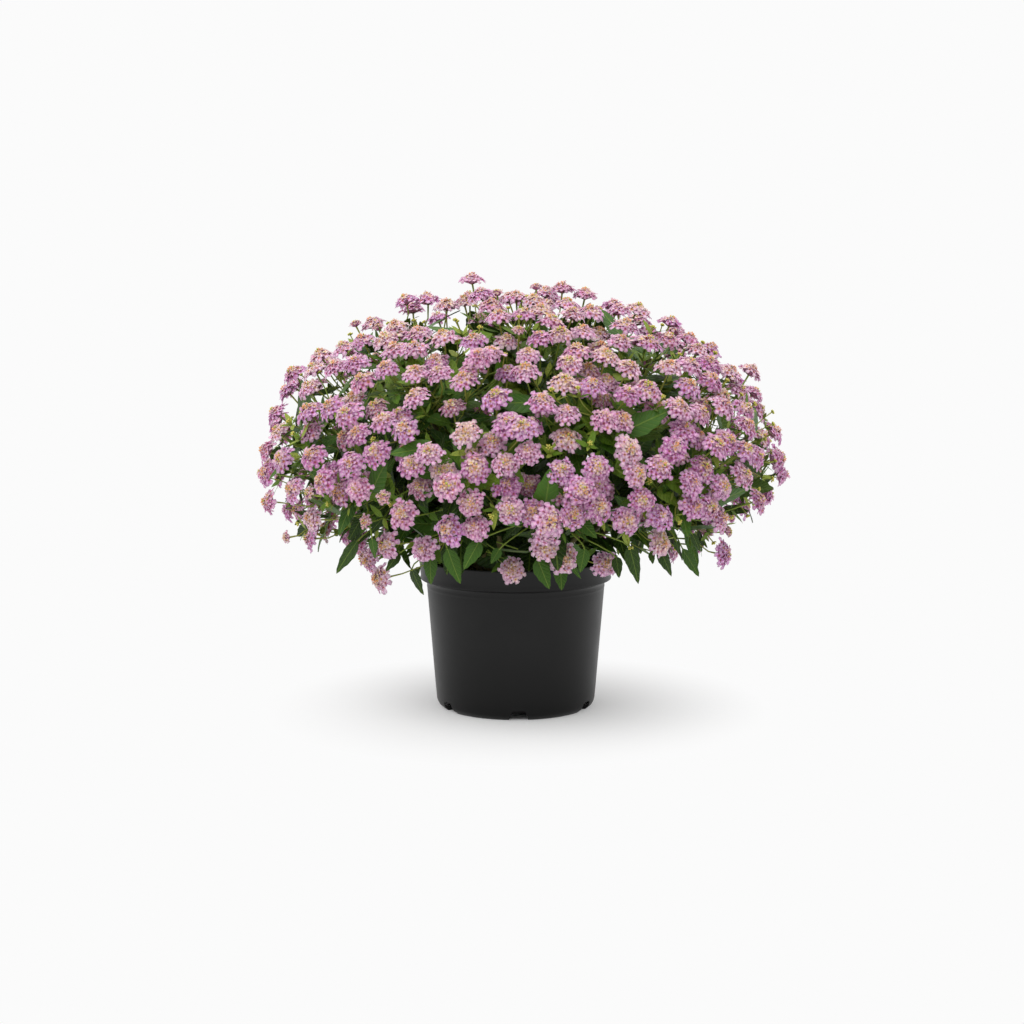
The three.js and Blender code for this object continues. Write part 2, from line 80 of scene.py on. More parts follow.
# The stems, each turned from the last by GOLDEN_TURN degrees, and the ring where they stand in the soil: its
# smallest radius and how much wider it gets.
STEMS, GOLDEN_TURN = 28, 137.50776
STEM_LOWEST, STEM_TIP_DEPTH = 148.0, 22.0
STEM_PIECES = 4
STEM_ROOT_RADIUS, STEM_TIP_RADIUS = 3.1, 1.9
ROOT_RING = (12.0, 50.0)
ROOT_DEPTH = 26.0

HEADS, HEAD_SPACING = 430, 24.0
LEAVES, LEAF_SPACING, LEAF_LENGTH, LEAF_WIDTH = 84, 36.0, 45.0, 24.0
# How many places are drawn at most for the heads, for the large leaves and for the clusters of buds.
TRIES = 40000

# The front of the plant is laid out at the places listed. Each place is where a line of sight from EYE
# crosses a plane square to it, FOCAL away, counted across and down from the plane's corner, MID from its
# middle.
# An s marks a small young head and a d a dull old one that is sunk among the leaves.
EYE = np.array([-3.7, -1758.0, 399.0])
PITCH, FOCAL, MID = 6.72, 1800.0, 512.0
FRONT_HEADS = """
780,460 472,278 405,299 427,298 463,293 447,304 479,298 497,292s 491,304 498,315 516,296 534,299 536,286s
562,287 548,298 567,303 585,293 601,299 590,310 573,313 604,313 619,309 638,308 656,312 671,321
355,323s 375,320s 391,311 395,325 418,331 443,335 385,338 362,339 343,347 506,320 524,313 541,309
519,329s 552,320 561,332 583,330 540,337 473,339 626,324 622,340 649,341 669,338 690,338 698,349
604,334 577,349 593,351 528,353 490,352 507,354 469,354 414,347 394,348 431,348 320,354 293,372
313,368 335,366 355,362 385,367 361,379 344,388 308,387 365,395d 415,371 438,372 463,378 447,394d
480,365 525,369 569,362 587,368 565,381 593,384 609,385d 606,354 614,365 630,367 647,373d 670,366
690,364 709,362 712,379 731,371 752,370 746,386 729,391 690,385 628,393 648,387 665,399 697,399
545,392d 415,395 495,395 275,412 329,406 346,413 308,409 297,425 277,431 390,404d 382,420 404,428
330,430d 351,430 541,404 567,412 531,418 507,423 605,418 626,415 650,406d 676,409 702,412 725,406
746,408 715,393d 748,425 775,431 690,425 709,431 465,432 490,436 522,431 570,432 265,450 281,458
266,472 311,455 317,471 350,463 375,452 396,444 411,464 431,453 441,470 468,451 475,468 505,463
528,452 562,470 598,467 629,449 638,473 675,447 661,466 713,446 710,466 692,449d 729,440 746,449
758,456 745,474 761,473s 292,490 308,493s 326,480 328,496 357,489 341,487d 383,497s 412,488d
450,485 507,485 530,488d 568,494d 581,490 603,486 620,503d 643,500 693,483 695,506 724,486 727,501
760,500 711,507 402,514 470,503 510,510 533,516 550,514 574,514 600,507 722,518 661,516 627,520
365,522s 310,519 309,538 289,532s 475,527 447,529 548,532 590,525d 655,529 662,542 545,547 563,558
512,570 606,564 385,545 368,561 378,579 423,549 725,554 729,531s"""
HANGING_LEAVES = """
358,540 340,571 411,568 425,594 629,545 636,580 659,548 669,574 682,548 696,575 372,538 376,557
447,548 460,580 430,556 432,582 537,558 548,586 560,564 561,588 692,533 698,549 616,556 618,576
676,540 678,553 651,551 652,563 480,540 466,566 400,552 388,570 500,548 492,562 585,548 580,570"""

# ------------------------------------------------------------------ small helpers


def draws(seed):
    """Numbers from 0 to 1 that are the same on every run."""
    state = seed

    def draw():
        nonlocal state
        state = (state * 1664525 + 1013904223) % 4294967296
        return state / 4294967296

    return draw


def vec(x, y, z):
    return np.array([x, y, z], float)


def unit(v):
    return v / np.linalg.norm(v)


def length(v):
    return float(np.linalg.norm(v))


def rad(degrees):
    return math.radians(degrees)


def turned(v, axis, angle):
    """v turned about a unit axis, by an angle in radians."""
    c, s = math.cos(angle), math.sin(angle)
    return v * c + np.cross(axis, v) * s + axis * float(axis @ v) * (1 - c)


def frame_on(axis, spin=0.0):
    """A 3 by 3 frame whose third column is the axis, turned about it by spin."""
    axis = unit(axis)
    side = np.array([0.0, 0.0, 1.0]) if abs(axis[2]) < 0.8 else np.array([1.0, 0.0, 0.0])
    across = unit(side - axis * float(side @ axis))
    other = np.cross(axis, across)
    c, s = math.cos(spin), math.sin(spin)
    return np.stack([across * c + other * s, other * c - across * s, axis], axis=1)


def read_places(words):
    found = []
    for word in words.split():
        kind = word[-1] if word[-1] in "sd" else ""
        across, down = word.rstrip("sd").split(",")
        found.append((float(across), float(down), kind))
    return found


# ------------------------------------------------------------------ the dome, as in the part


def on_dome(turn, fall):
    """A point of the dome, by its turn from the front and its fall from the top, in degrees."""
    half = RISE if fall < 90 else DROP
    radius = REACH * math.sin(rad(fall))
    return CENTRE + vec(
        radius * math.sin(rad(turn)), -radius * math.cos(rad(turn)), half * math.cos(rad(fall))
    )


def fall_to(share, lowest):
    """How far down from the top, in degrees, a share lies of all the dome above its lowest fall."""
    cap = 1 - math.cos(rad(lowest))
    return math.degrees(math.acos(1 - cap * share))


def outward(point):
    half = RISE if point[2] > CENTRE[2] else DROP
    return unit((point - CENTRE) / np.array([REACH**2, REACH**2, half**2]))


def sighted(across, down):
    """Where a line of sight first meets the dome, or passes nearest to it."""
    x, y = (across - MID) / FOCAL, (MID - down) / FOCAL
    c, s = math.cos(rad(PITCH)), math.sin(rad(PITCH))
    ray = vec(x, c + y * s, y * c - s)
    for half in (RISE, DROP):
        scale = np.array([1 / REACH, 1 / REACH, 1 / half])
        start, step = (EYE - CENTRE) * scale, ray * scale
        a, b = float(step @ step), float(step @ start)
        reach = (-b - math.sqrt(max(b * b - a * (float(start @ start) - 1), 0))) / a
        point = EYE + ray * reach
        if (point[2] >= CENTRE[2]) == (half == RISE):
            break
    return point


# How far down the way of a head goes at most, before its tilt, and how much the tilt counts.
LOOK_DOWN, FACE_TILT = -0.06, 0.34


def face_at(point, tilt):
    """A head looks out from the dome, hardly ever down, with a tilt of its own."""
    face = outward(point)
    face[2] = max(face[2], LOOK_DOWN)
    return unit(unit(face) + tilt * FACE_TILT)


def tilt_from(draw):
    return np.array([draw() - 0.5, draw() - 0.5, draw() - 0.5])


FAR = 99.0


def nearest(point, places):
    """The distance to the nearest of the places, FAR at most."""
    if not places:
        return FAR
    return min(FAR, float(np.sqrt(((np.array(places) - point) ** 2).sum(1).min())))


# A small young head's size and a dull old one's, and how deep the dull ones are sunk.
SIZE_OF_KIND = {"s": 0.66, "d": 0.86}
DULL_DEPTH = 16
# Tried in turn, out of the dome or into it, until a head is clear of the others.
FRONT_LIFTS, FRONT_CLEAR = (0, -7, 6, -13, -19, 11), 21


def front_heads():
    heads, places = [], []
    draw = draws(5)
    for across, down, kind in read_places(FRONT_HEADS):
        skin = sighted(across, down)
        face = face_at(skin, tilt_from(draw))
        size = SIZE_OF_KIND.get(kind) or 0.92 + 0.14 * draw()
        base = -DULL_DEPTH if kind == "d" else 0
        best = None
        for lift in FRONT_LIFTS:
            at = skin + outward(skin) * (base + lift)
            room = nearest(at, places)
            if best is None or room > best[1]:
                best = (at, room)
            if room >= FRONT_CLEAR:
                break
        places.append(best[0])
        heads.append(SimpleNamespace(at=best[0], face=face, size=size, skin=skin, kind=kind))
    return heads


# Heads drawn behind keep this far off the front, in how they look and where they stand.
FRONT_LEAN, FRONT_EDGE = 0.12, 60
# How far out of the dome such a head may stand, and how much deeper it may sink.
HEAD_PROUD, HEAD_SINK = 7, 24


def all_heads():
    """The front, laid as listed, and the rest of the dome, filled by draws that keep their distance."""
    heads = front_heads()
    places = [head.at for head in heads]
    draw = draws(11)
    tries = 0
    while len(heads) < HEADS and tries < TRIES:
        tries += 1
        turn = draw() * 360
        fall = fall_to(draw(), LOWEST)
        sink = draw()
        size = 0.88 + 0.18 * draw()
        tilt = tilt_from(draw)
        skin = on_dome(turn, fall)
        out = outward(skin)
        if out[1] < -FRONT_LEAN or skin[1] < -FRONT_EDGE:
            continue
        at = skin + out * (HEAD_PROUD - HEAD_SINK * sink * sink)
        if nearest(at, places) < HEAD_SPACING:
            continue
        places.append(at)
        heads.append(
            SimpleNamespace(at=at, face=face_at(skin, tilt), size=size, skin=skin, kind="")
        )
    return heads


# ------------------------------------------------------------------ the stems, as in the part


# A stem starts a little over the soil's edge. It bends at this share of the way to its end, and the outer
# its root, the lower the bend.
ROOT_RISE = 4
BEND_SHARE, BEND_HEIGHT, BEND_FALL = 0.45, 245, 30


def stem_courses():
    """Stems rise from the soil like a fountain: the outer the root, the lower the stem's end."""
    found = []
    for k in range(STEMS):
        turn = k * GOLDEN_TURN
        fall = fall_to((k + 0.5) / STEMS, STEM_LOWEST)
        share = fall / STEM_LOWEST
        heading = vec(math.sin(rad(turn)), -math.cos(rad(turn)), 0)
        root = heading * (ROOT_RING[0] + ROOT_RING[1] * share)
        root[2] = SOIL_EDGE + ROOT_RISE
        skin = on_dome(turn, fall)
        end = skin - outward(skin) * STEM_TIP_DEPTH
        bend = root + (end - root) * BEND_SHARE
        bend[2] = BEND_HEIGHT - BEND_FALL * share
        side = vec(heading[1], -heading[0], 0)
        found.append(
            SimpleNamespace(root=root, bend=bend, end=end, skin=skin, side=side, used=set())
        )
    return found


def curve_point(course, t):
    a, b = (1 - t) ** 2, 2 * t * (1 - t)
    return course.root * a + course.bend * b + course.end * t * t


def curve_way(course, t):
    return unit((course.bend - course.root) * (1 - t) + (course.end - course.bend) * t)


def on_stem(course, t):
    """A point of a stem as the plain solid has it, in straight pieces."""
    at = min(t * STEM_PIECES, STEM_PIECES - TINY)
    low = math.floor(at)
    a, b = curve_point(course, low / STEM_PIECES), curve_point(course, (low + 1) / STEM_PIECES)
    return a + (b - a) * (at - low)


def stem_of(point, courses):
    reach = [length(course.skin - point) for course in courses]
    return reach.index(min(reach))


# Where along a stem, from its end down, a stalk may leave it.
STALK_PLACES = [0.98 - 0.021 * i for i in range(30)]
# A stalk leans off its stem and turns to its target by up to these angles at no cost, in degrees, and is
# hardly ever let turn by the last. A place that another stalk has costs a little.
EASY_LEAN, EASY_TURN, WORST_TURN = 35, 40, 105
TURN_COST, WORST_COST, SHARED_COST = 0.8, 200, 14


def degrees_off(run, way, reach):
    """The angle between a run that is so long and a unit way."""
    return math.degrees(math.acos(max(-1, min(1, float(run @ way) / reach))))


def foot_for(target, way, course, wish):
    """Where along its stem a stalk best leaves it towards a target that looks a given way."""
    best = None
    for t in STALK_PLACES:
        foot = on_stem(course, t)
        run = target - foot
        reach = length(run)
        lean = degrees_off(run, curve_way(course, t), reach)
        turn = degrees_off(run, unit(way), reach)
        cost = abs(reach - wish) + max(0, lean - EASY_LEAN) + TURN_COST * max(0, turn - EASY_TURN)
        cost += WORST_COST * (turn >= WORST_TURN) + SHARED_COST * (t in course.used)
        if best is None or cost < best[0]:
            best = (cost, t, foot)
    course.used.add(best[1])
    return best[2]


# A large leaf lies this deep under the flowers, clear of the heads round it, and swings to either side by
# up to half of LEAF_SWING, in radians. Some are LEAF_FALL degrees lower than the lowest heads.
LEAF_DEPTH, LEAF_CLEAR, LEAF_SWING, LEAF_FALL = 13, 15.5, 1.4, 4
# The share of a leaf that lies before its middle, and how much lower that end is.
LEAF_BACK, LEAF_DIP = 0.45, 3
# The most that a hanging leaf is wide, and how far out it leans for the length that it hangs.
HANGING_WIDTH, HANGING_LEAN = 17, 0.1


def leaf_places(heads, courses):
    """Large leaves lie under the flowers and face out through the gaps between them."""
    leaves = []
    hanging = read_places(HANGING_LEAVES)
    for (x0, y0, _), (x1, y1, _) in zip(hanging[::2], hanging[1::2]):
        base = sighted(x0, y0)
        out = outward(base)
        out[2] = 0
        out = unit(out)
        drop = (y1 - y0) / FOCAL * -EYE[1]
        tip = base + vec((x1 - x0) / FOCAL * -EYE[1], 0, -drop) + out * HANGING_LEAN * drop
        width = min(HANGING_WIDTH, 0.5 * drop + 3)
        leaves.append(SimpleNamespace(base=base, tip=tip, up=out, width=width, skin=base))
    places = [head.at for head in heads]
    draw = draws(23)
    mids = []
    tries = 0
    while len(leaves) < LEAVES and tries < TRIES:
        tries += 1
        turn = draw() * 360
        fall = fall_to(draw(), LOWEST + LEAF_FALL)
        swing = draw()
        size = 0.85 + 0.3 * draw()
        skin = on_dome(turn, fall)
        out = outward(skin)
        mid = skin - LEAF_DEPTH * out
        if nearest(mid, mids) < LEAF_SPACING or nearest(skin, places) < LEAF_CLEAR:
            continue
        away = mid - on_stem(courses[stem_of(skin, courses)], 0.8)
        away = unit(away - out * 0.8 * float(away @ out))
        away = turned(away, out, (swing - 0.5) * LEAF_SWING)
        reach = LEAF_LENGTH * size
        mids.append(mid)
        leaves.append(
            SimpleNamespace(
                base=mid - away * LEAF_BACK * reach - LEAF_DIP * out,
                tip=mid + away * (1 - LEAF_BACK) * reach + out,
                up=out,
                width=LEAF_WIDTH * size,
                skin=skin,
            )
        )
    return leaves


# ------------------------------------------------------------------ shapes that are set down many times

MAP = "OFBake"


def new_shape():
    bm = bmesh.new()
    bm.loops.layers.uv.new(MAP)
    return bm


def faces_of(made):
    return [piece for piece in made if isinstance(piece, bmesh.types.BMFace)]


def edges_of(made):
    return [piece for piece in made if isinstance(piece, bmesh.types.BMEdge)]


def points_of(made):
    return [piece for piece in made if isinstance(piece, bmesh.types.BMVert)]


def lay_map(bm, place):
    """Gives every corner of every face its place on the map, from the corner's point and its face."""
    layer = bm.loops.layers.uv[MAP]
    bm.normal_update()
    for face in bm.faces:
        for corner in face.loops:
            corner[layer].uv = place(corner.vert.co, face)


def stamp_of(bm, name):
    """A finished small shape, kept as a mesh with its points and map at hand."""
    mesh = bpy.data.meshes.new(name)
    bm.to_mesh(mesh)
    bm.free()
    points = np.empty(len(mesh.vertices) * 3, np.float32)
    mesh.vertices.foreach_get("co", points)
    spots = np.empty(len(mesh.loops) * 2, np.float32)
    mesh.uv_layers[MAP].uv.foreach_get("vector", spots)
    return SimpleNamespace(
        mesh=mesh,
        points=points.reshape(-1, 3).astype(float),
        spots=spots.reshape(-1, 2).astype(float),
    )


def set_down(bm, stamp, points, spots):
    """Adds a copy of the shape with its points and map moved. Points are in millimetres."""
    stamp.mesh.vertices.foreach_set("co", (points * METRE).astype(np.float32).ravel())
    stamp.mesh.uv_layers[MAP].uv.foreach_set("vector", spots.astype(np.float32).ravel())
    bm.from_mesh(stamp.mesh)


def joined(stamps, name):
    """Several shapes as one, in the order given."""
    bm = new_shape()
    for stamp in stamps:
        bm.from_mesh(stamp.mesh)
    return stamp_of(bm, name)


LOBES, LIMB_ON_MAP = 4, 0.33
LIMB_SINK, LIMB_UNDER = 0.16, 0.32
# Round a lobe: the valley before it, then three points from shoulder to shoulder, as degrees, reach and lift.
LOBE = ((-45, 0.56, -0.06), (-29, 0.94, 0.05), (0, 1.06, 0.02), (29, 0.94, 0.08))
# The lobe that looks out of the head is much the longest, and the one that looks in the shortest.
LOBE_REACH = (1.45, 0.96, 0.66, 0.96)


def floret_limb():
    """The flat open end of a floret, about 1 in radius: round lobes, thin at the edge, sunk in the middle."""
    bm = new_shape()
    sides = LOBES * len(LOBE)
    bmesh.ops.create_circle(bm, cap_ends=True, segments=sides, radius=1)
    for vert in bm.verts:
        angle = math.degrees(math.atan2(vert.co.y, vert.co.x)) % 360
        lobe, point = divmod(round(angle / 360 * sides) % sides, len(LOBE))
        turn, reach, lift = LOBE[point]
        reach *= LOBE_REACH[lobe] if point else 1
        turn = rad(lobe * 90 + turn)
        vert.co = Vector((reach * math.cos(turn), reach * math.sin(turn), lift))
    top = list(bm.faces)
    under = bmesh.ops.duplicate(bm, geom=top)["geom"]
    poked = bmesh.ops.poke(bm, faces=top)
    for vert in poked["verts"]:
        vert.co = Vector((0, 0, -LIMB_SINK))
    below = bmesh.ops.poke(bm, faces=faces_of(under))
    for vert in below["verts"]:
        vert.co = Vector((0, 0, -LIMB_UNDER))
    bmesh.ops.reverse_faces(bm, faces=below["faces"])
    bmesh.ops.remove_doubles(bm, verts=bm.verts, dist=1e-4)
    bmesh.ops.recalc_face_normals(bm, faces=bm.faces)
    for face in bm.faces:
        face.smooth = True
    for edge in bm.edges:
        edge.smooth = any(v.co.xy.length < 0.1 for v in edge.verts)
    lay_map(bm, lambda co, face: (0.5 + LIMB_ON_MAP * co.x, 0.5 + LIMB_ON_MAP * co.y))
    return stamp_of(bm, "floret limb")


def floret_tube():
    """The thin tube under a floret, three-sided, from 0 at its foot to 1 at its mouth."""
    bm = new_shape()
    bmesh.ops.create_cone(bm, cap_ends=True, segments=3, radius1=0.6, radius2=1, depth=1)
    bmesh.ops.translate(bm, verts=bm.verts, vec=(0, 0, 0.5))
    for face in bm.faces:
        face.smooth = len(face.verts) == 4
    lay_map(bm, lambda co, face: (0.5 + 0.3 * co.x, 0.06 + 0.88 * co.z))
    return stamp_of(bm, "floret tube")


def bud_shape():
    """A bud, half as long again as it is wide, and slimmer towards its foot."""
    bm = new_shape()
    bmesh.ops.create_icosphere(bm, subdivisions=1, radius=1)
    for vert in bm.verts:
        vert.co.z *= 1.5
        vert.co.xy *= 0.86 if vert.co.z < 0 else 1.0
    for face in bm.faces:
        face.smooth = True
    lay_map(bm, lambda co, face: (0.5 + 0.3 * co.x, 0.5 + 0.28 * co.z))
    return stamp_of(bm, "bud")


# A leaf's teeth stand out and in by turns and point forward, and its midrib lies in a groove.
TOOTH_OUT, TOOTH_FORWARD, GROOVE = 0.035, 0.028, 0.022
LEAF_THICKNESS = 0.018


def leaf_blade(wide_steps, steps):
    """A leaf from its stalk at 0 to its point at 1 along Y, half as wide as 1 across X, with a saw edge."""
    bm = new_shape()
    bmesh.ops.create_grid(bm, x_segments=wide_steps, y_segments=steps, size=1)
    for vert in bm.verts:
        x, along = vert.co.x, (vert.co.y + 1) / 2
        row = round(along * steps)
        # Widest before its middle, and drawn out to a point.
        wide = max(math.sin(math.pi * min(along, 1) ** 0.72) ** 0.8 * (1 - 0.32 * along), 0.0)
        tooth = 0
        if abs(x) > 0.99 and 0 < row < steps:
            tooth = 1 if row % 2 else -1
        y = along + TOOTH_FORWARD * max(tooth, 0)
        half = wide * (1 + TOOTH_OUT * tooth)
        # Its edges hang and ripple.
        z = -0.05 * abs(x) ** 1.3 * wide + 0.015 * math.sin(3.1 * math.pi * along) * abs(x)
        vert.co = Vector((0.5 * x * half, y, z - (GROOVE if abs(x) < 0.3 else 0)))
    bmesh.ops.remove_doubles(bm, verts=bm.verts, dist=1e-4)
    upper = list(bm.faces)
    lower = faces_of(bmesh.ops.duplicate(bm, geom=upper)["geom"])
    rim = {v for e in bm.edges if e.is_boundary for v in e.verts}
    for vert in {v for f in lower for v in f.verts} - rim:
        vert.co.z -= LEAF_THICKNESS
    bmesh.ops.reverse_faces(bm, faces=lower)
    bmesh.ops.remove_doubles(bm, verts=bm.verts, dist=1e-5)
    bmesh.ops.recalc_face_normals(bm, faces=bm.faces)
    for face in bm.faces:
        face.smooth = True
    for edge in bm.edges:
        if len(edge.link_faces) == 2:
            a, b = edge.link_faces
            edge.smooth = a.normal.dot(b.normal) > -0.2
    # The upper face is mapped on the left of its cell and the lower on the right.
    lay_map(bm, lambda co, face: ((0.25 if face.normal.z > 0 else 0.75) + 0.36 * co.x, 0.04 + 0.92 * co.y))
    return stamp_of(bm, f"leaf blade {steps}")


def rod_shape(sides, steps, name):
    """A straight rod, 1 in radius and from 0 to 1 along Z, in rings that can be bent."""
    bm = new_shape()
    bmesh.ops.create_circle(bm, cap_ends=True, segments=sides, radius=1)
    bmesh.ops.reverse_faces(bm, faces=bm.faces)
    edges = list(bm.edges)
    for _ in range(steps):
        grown = bmesh.ops.extrude_edge_only(bm, edges=edges)["geom"]
        edges = edges_of(grown)
        bmesh.ops.translate(bm, verts=points_of(grown), vec=(0, 0, 1 / steps))
    bmesh.ops.holes_fill(bm, edges=edges)
    bmesh.ops.recalc_face_normals(bm, faces=bm.faces)
    for face in bm.faces:
        face.smooth = len(face.verts) == 4
    lay_map(bm, lambda co, face: (0.5 + 0.42 * math.atan2(co.y, co.x) / math.pi, 0.04 + 0.92 * co.z))
    return stamp_of(bm, name)


# The section of a stalk is turned by this way where no side is given.
SIDEWAYS = (0.31, 0.2, 0.93)


def bent(stamp, path, radius, side=None):
    """The rod's points laid along a path of points, with a radius at each share of its length."""
    z = stamp.points[:, 2]
    steps = len(path) - 1
    at = np.clip(z * steps, 0, steps - TINY)
    low = at.astype(int)
    part = (at - low)[:, None]
    path = np.asarray(path)
    middle = path[low] * (1 - part) + path[low + 1] * part
    ways = np.gradient(path, axis=0)
    ways /= np.linalg.norm(ways, axis=1)[:, None]
    way = ways[low] * (1 - part) + ways[low + 1] * part
    way /= np.linalg.norm(way, axis=1)[:, None]
    if side is None:
        side = np.cross(path[-1] - path[0], SIDEWAYS)
    side = unit(np.asarray(side, float))
    across = side - way * (way @ side)[:, None]
    across /= np.linalg.norm(across, axis=1)[:, None]
    other = np.cross(way, across)
    thick = np.interp(z, np.linspace(0, 1, len(radius)), radius)[:, None]
    return middle + (across * stamp.points[:, :1] + other * stamp.points[:, 1:2]) * thick


def in_cell(spots, column, row, cells):
    """The map places moved into one cell of a map that is so many cells wide and high."""
    return (spots + np.array([column, row])) / cells


# ------------------------------------------------------------------ flower heads

# The map of the flowers is eight by eight cells: a column by how open a floret is, a row by the head's tint.
PETAL_CELLS = 8
OLDEST_COLUMN, TUBE_COLUMN, BUD_COLUMN, YOUNG_BUD_COLUMN = 4, 5, 6, 7
TINTS, DEEP_ROW, PALEST_ROW, DULL_ROW, YOUNG_ROW = 6, 2, 5, 6, 7
FLORET_RADIUS = 3.6

# The rings of a head: how far out and up its florets stand, how many, how far they lean out in degrees,
# their size, how deeply they are cupped and their column.
FULL_RINGS = (
    (9.8, -1.4, 13, 44, 0.98, -0.05, 0),
    (6.9, 0.8, 10, 32, 0.97, 0.0, 1),
    (4.2, 2.4, 6, 20, 0.88, 0.06, 2),
    (1.6, 3.2, 3, 8, 0.68, 0.3, 3),
)
LOOSE_RINGS = (
    (9.9, -1.6, 11, 46, 1.12, -0.06, 0),
    (7.0, 0.7, 9, 36, 0.97, 0.0, 1),
    (4.2, 2.4, 5, 22, 0.8, 0.1, 2),
    (1.8, 3.2, 3, 8, 0.56, 0.34, 4),
)
DENSE_RINGS = (
    (9.6, -1.2, 13, 44, 0.99, -0.04, 0),
    (6.8, 1.1, 10, 32, 0.98, 0.0, 0),
    (4.1, 2.8, 6, 18, 0.94, 0.04, 1),
    (1.5, 3.6, 3, 6, 0.8, 0.14, 2),
)
YOUNG_RINGS = ((7.0, 0.2, 8, 46, 0.9, 0.02, 1), (4.0, 2.4, 5, 28, 0.76, 0.16, 2))
# Each kind of head by its rings and the number of buds in its middle.
HEAD_KINDS = {
    "full": (FULL_RINGS, 6),
    "loose": (LOOSE_RINGS, 8),
    "dense": (DENSE_RINGS, 4),
    "young": (YOUNG_RINGS, 10),
}
CORE_RADIUS, CORE_HALF, CORE_DEPTH = 8.8, 4.2, 2.2
TUBE_RADIUS, NECK_DEPTH = 0.62, 6.5
# Keeps a tube's sides apart where it runs straight along the way its head looks.
OFF_FACE = np.array([0.01, 0.02, 0.03])
# A floret that looks up by more than this is painted paler, as painted light from above.
SKYWARD = 0.8
# A bud's size across and along, how high the middle one stands, and how much lower it is in a young head.
BUD_SIZE, BUD_HEIGHT, YOUNG_BUD_SINK = np.array([0.95, 0.95, 1.15]), 4.6, 1.6
# How wide a young head's heart is beside the others'.
YOUNG_CORE = 0.72
# How many of the buds are still green.
FRESH_IN_YOUNG, FRESH = 0.5, 0.22


def core_shape():
    """The heart of a head, where its tubes stand close together."""
    bm = new_shape()
    bmesh.ops.create_icosphere(bm, subdivisions=1, radius=1)
    for face in bm.faces:
        face.smooth = True
    lay_map(bm, lambda co, face: (0.5 + 0.3 * co.x, 0.62 + 0.2 * co.z))
    return stamp_of(bm, "heart")


def head_kit(limb, tube, bud, core, name):
    """The parts of one kind of head as one mesh, with what each of its florets is like."""
    rings, buds = HEAD_KINDS[name]
    florets = [ring for ring in rings for _ in range(ring[2])]
    tubed = sum(ring[2] for ring in rings[:2])
    whole = joined([limb] * len(florets) + [tube] * tubed + [bud] * buds + [core], name)
    whole.rings, whole.buds, whole.tubed, whole.young = rings, buds, tubed, name == "young"
    table = np.array(florets, float)
    whole.out, whole.up, whole.lean = table[:, 0], table[:, 1], np.radians(table[:, 3])
    whole.scale, whole.cup, whole.column = table[:, 4], table[:, 5], table[:, 6].astype(int)
    whole.turn = np.concatenate([np.arange(r[2]) * math.tau / r[2] for r in rings])
    whole.ring = np.concatenate([np.full(r[2], i) for i, r in enumerate(rings)])
    whole.limb, whole.tube, whole.bud, whole.core = limb, tube, bud, core
    return whole


def along_units(v):
    """Each row of an array as a unit vector."""
    return v / np.linalg.norm(v, axis=-1, keepdims=True)


def spoke(basis, angle):
    """The way out from a frame's axis at an angle round it."""
    return basis[:, 0] * math.cos(angle) + basis[:, 1] * math.sin(angle)


def neck_of(head):
    """Where a head's tubes and its stalk meet."""
    return head.at - head.face * NECK_DEPTH * head.size


def florets_of(kit, head, basis, rng):
    """A head's florets over a low dome: their points and map, where each stands and which way it looks."""
    n, size = len(kit.out), head.size
    starts = rng.uniform(0, ANY_TURN, len(kit.rings))[kit.ring]
    turn = starts + kit.turn + rng.uniform(-1, 1, n) * 1.2 / np.bincount(kit.ring)[kit.ring]
    round_ = np.outer(np.cos(turn), basis[:, 0]) + np.outer(np.sin(turn), basis[:, 1])
    # A head is never quite round.
    ragged = 1 + 0.07 * np.sin(2 * turn + rng.uniform(0, ANY_TURN)) + rng.uniform(-0.12, 0.12, n)
    out = kit.out * ragged
    up = kit.up + rng.uniform(-0.7, 0.7, n)
    at = head.at + (round_ * out[:, None] + np.outer(up, head.face)) * size
    lean = kit.lean + rng.uniform(-0.3, 0.3, n)
    way = round_ * np.sin(lean)[:, None] + np.outer(np.cos(lean), head.face)
    way = along_units(way + rng.uniform(-0.24, 0.24, (n, 3)))
    toward = along_units(round_ - way * (round_ * way).sum(1)[:, None])
    other = np.cross(way, toward)
    spin = rng.normal(0, 0.32, n) + (kit.ring > 1) * rng.uniform(0, ANY_TURN, n)
    across = toward * np.cos(spin)[:, None] + other * np.sin(spin)[:, None]
    other = np.cross(way, across)
    limb = kit.limb.points
    radius, angle = np.hypot(limb[:, 0], limb[:, 1]), np.arctan2(limb[:, 1], limb[:, 0])

    def wave(times, depth):
        """A wave round each floret, at a turn of its own."""
        return depth * np.sin(times * angle + rng.uniform(0, ANY_TURN, (n, 1)))

    big = FLORET_RADIUS * size * kit.scale * rng.uniform(0.9, 1.12, n)
    cup = (kit.cup + rng.uniform(-0.1, 0.1, n))[:, None] * radius**2
    lift = limb[:, 2] + cup + wave(2, 0.09) * radius**2 + wave(3, 0.05) * radius**2
    stretch = 1 + rng.uniform(-0.09, 0.09, (n, 1)) * wave(2, 1)
    florets = at[:, None] + big[:, None, None] * (
        (limb[:, 0] * stretch)[..., None] * across[:, None]
        + (limb[:, 1] * stretch)[..., None] * other[:, None]
        + lift[..., None] * way[:, None]
    )
    # Painted light: florets that look up, and those of heads in the palest tint, are moved to paler columns.
    lit_from_above = (way[:, 2] > SKYWARD).astype(int)
    column = kit.column + rng.integers(-1, 2, n) * (rng.random(n) < 0.4) + head.ripe + lit_from_above
    cell = np.stack([np.clip(column, 0, OLDEST_COLUMN), np.full(n, head.row)], axis=1)
    spots = (kit.limb.spots + cell[:, None]) / PETAL_CELLS
    return florets.reshape(-1, 3), spots.reshape(-1, 2), at, way


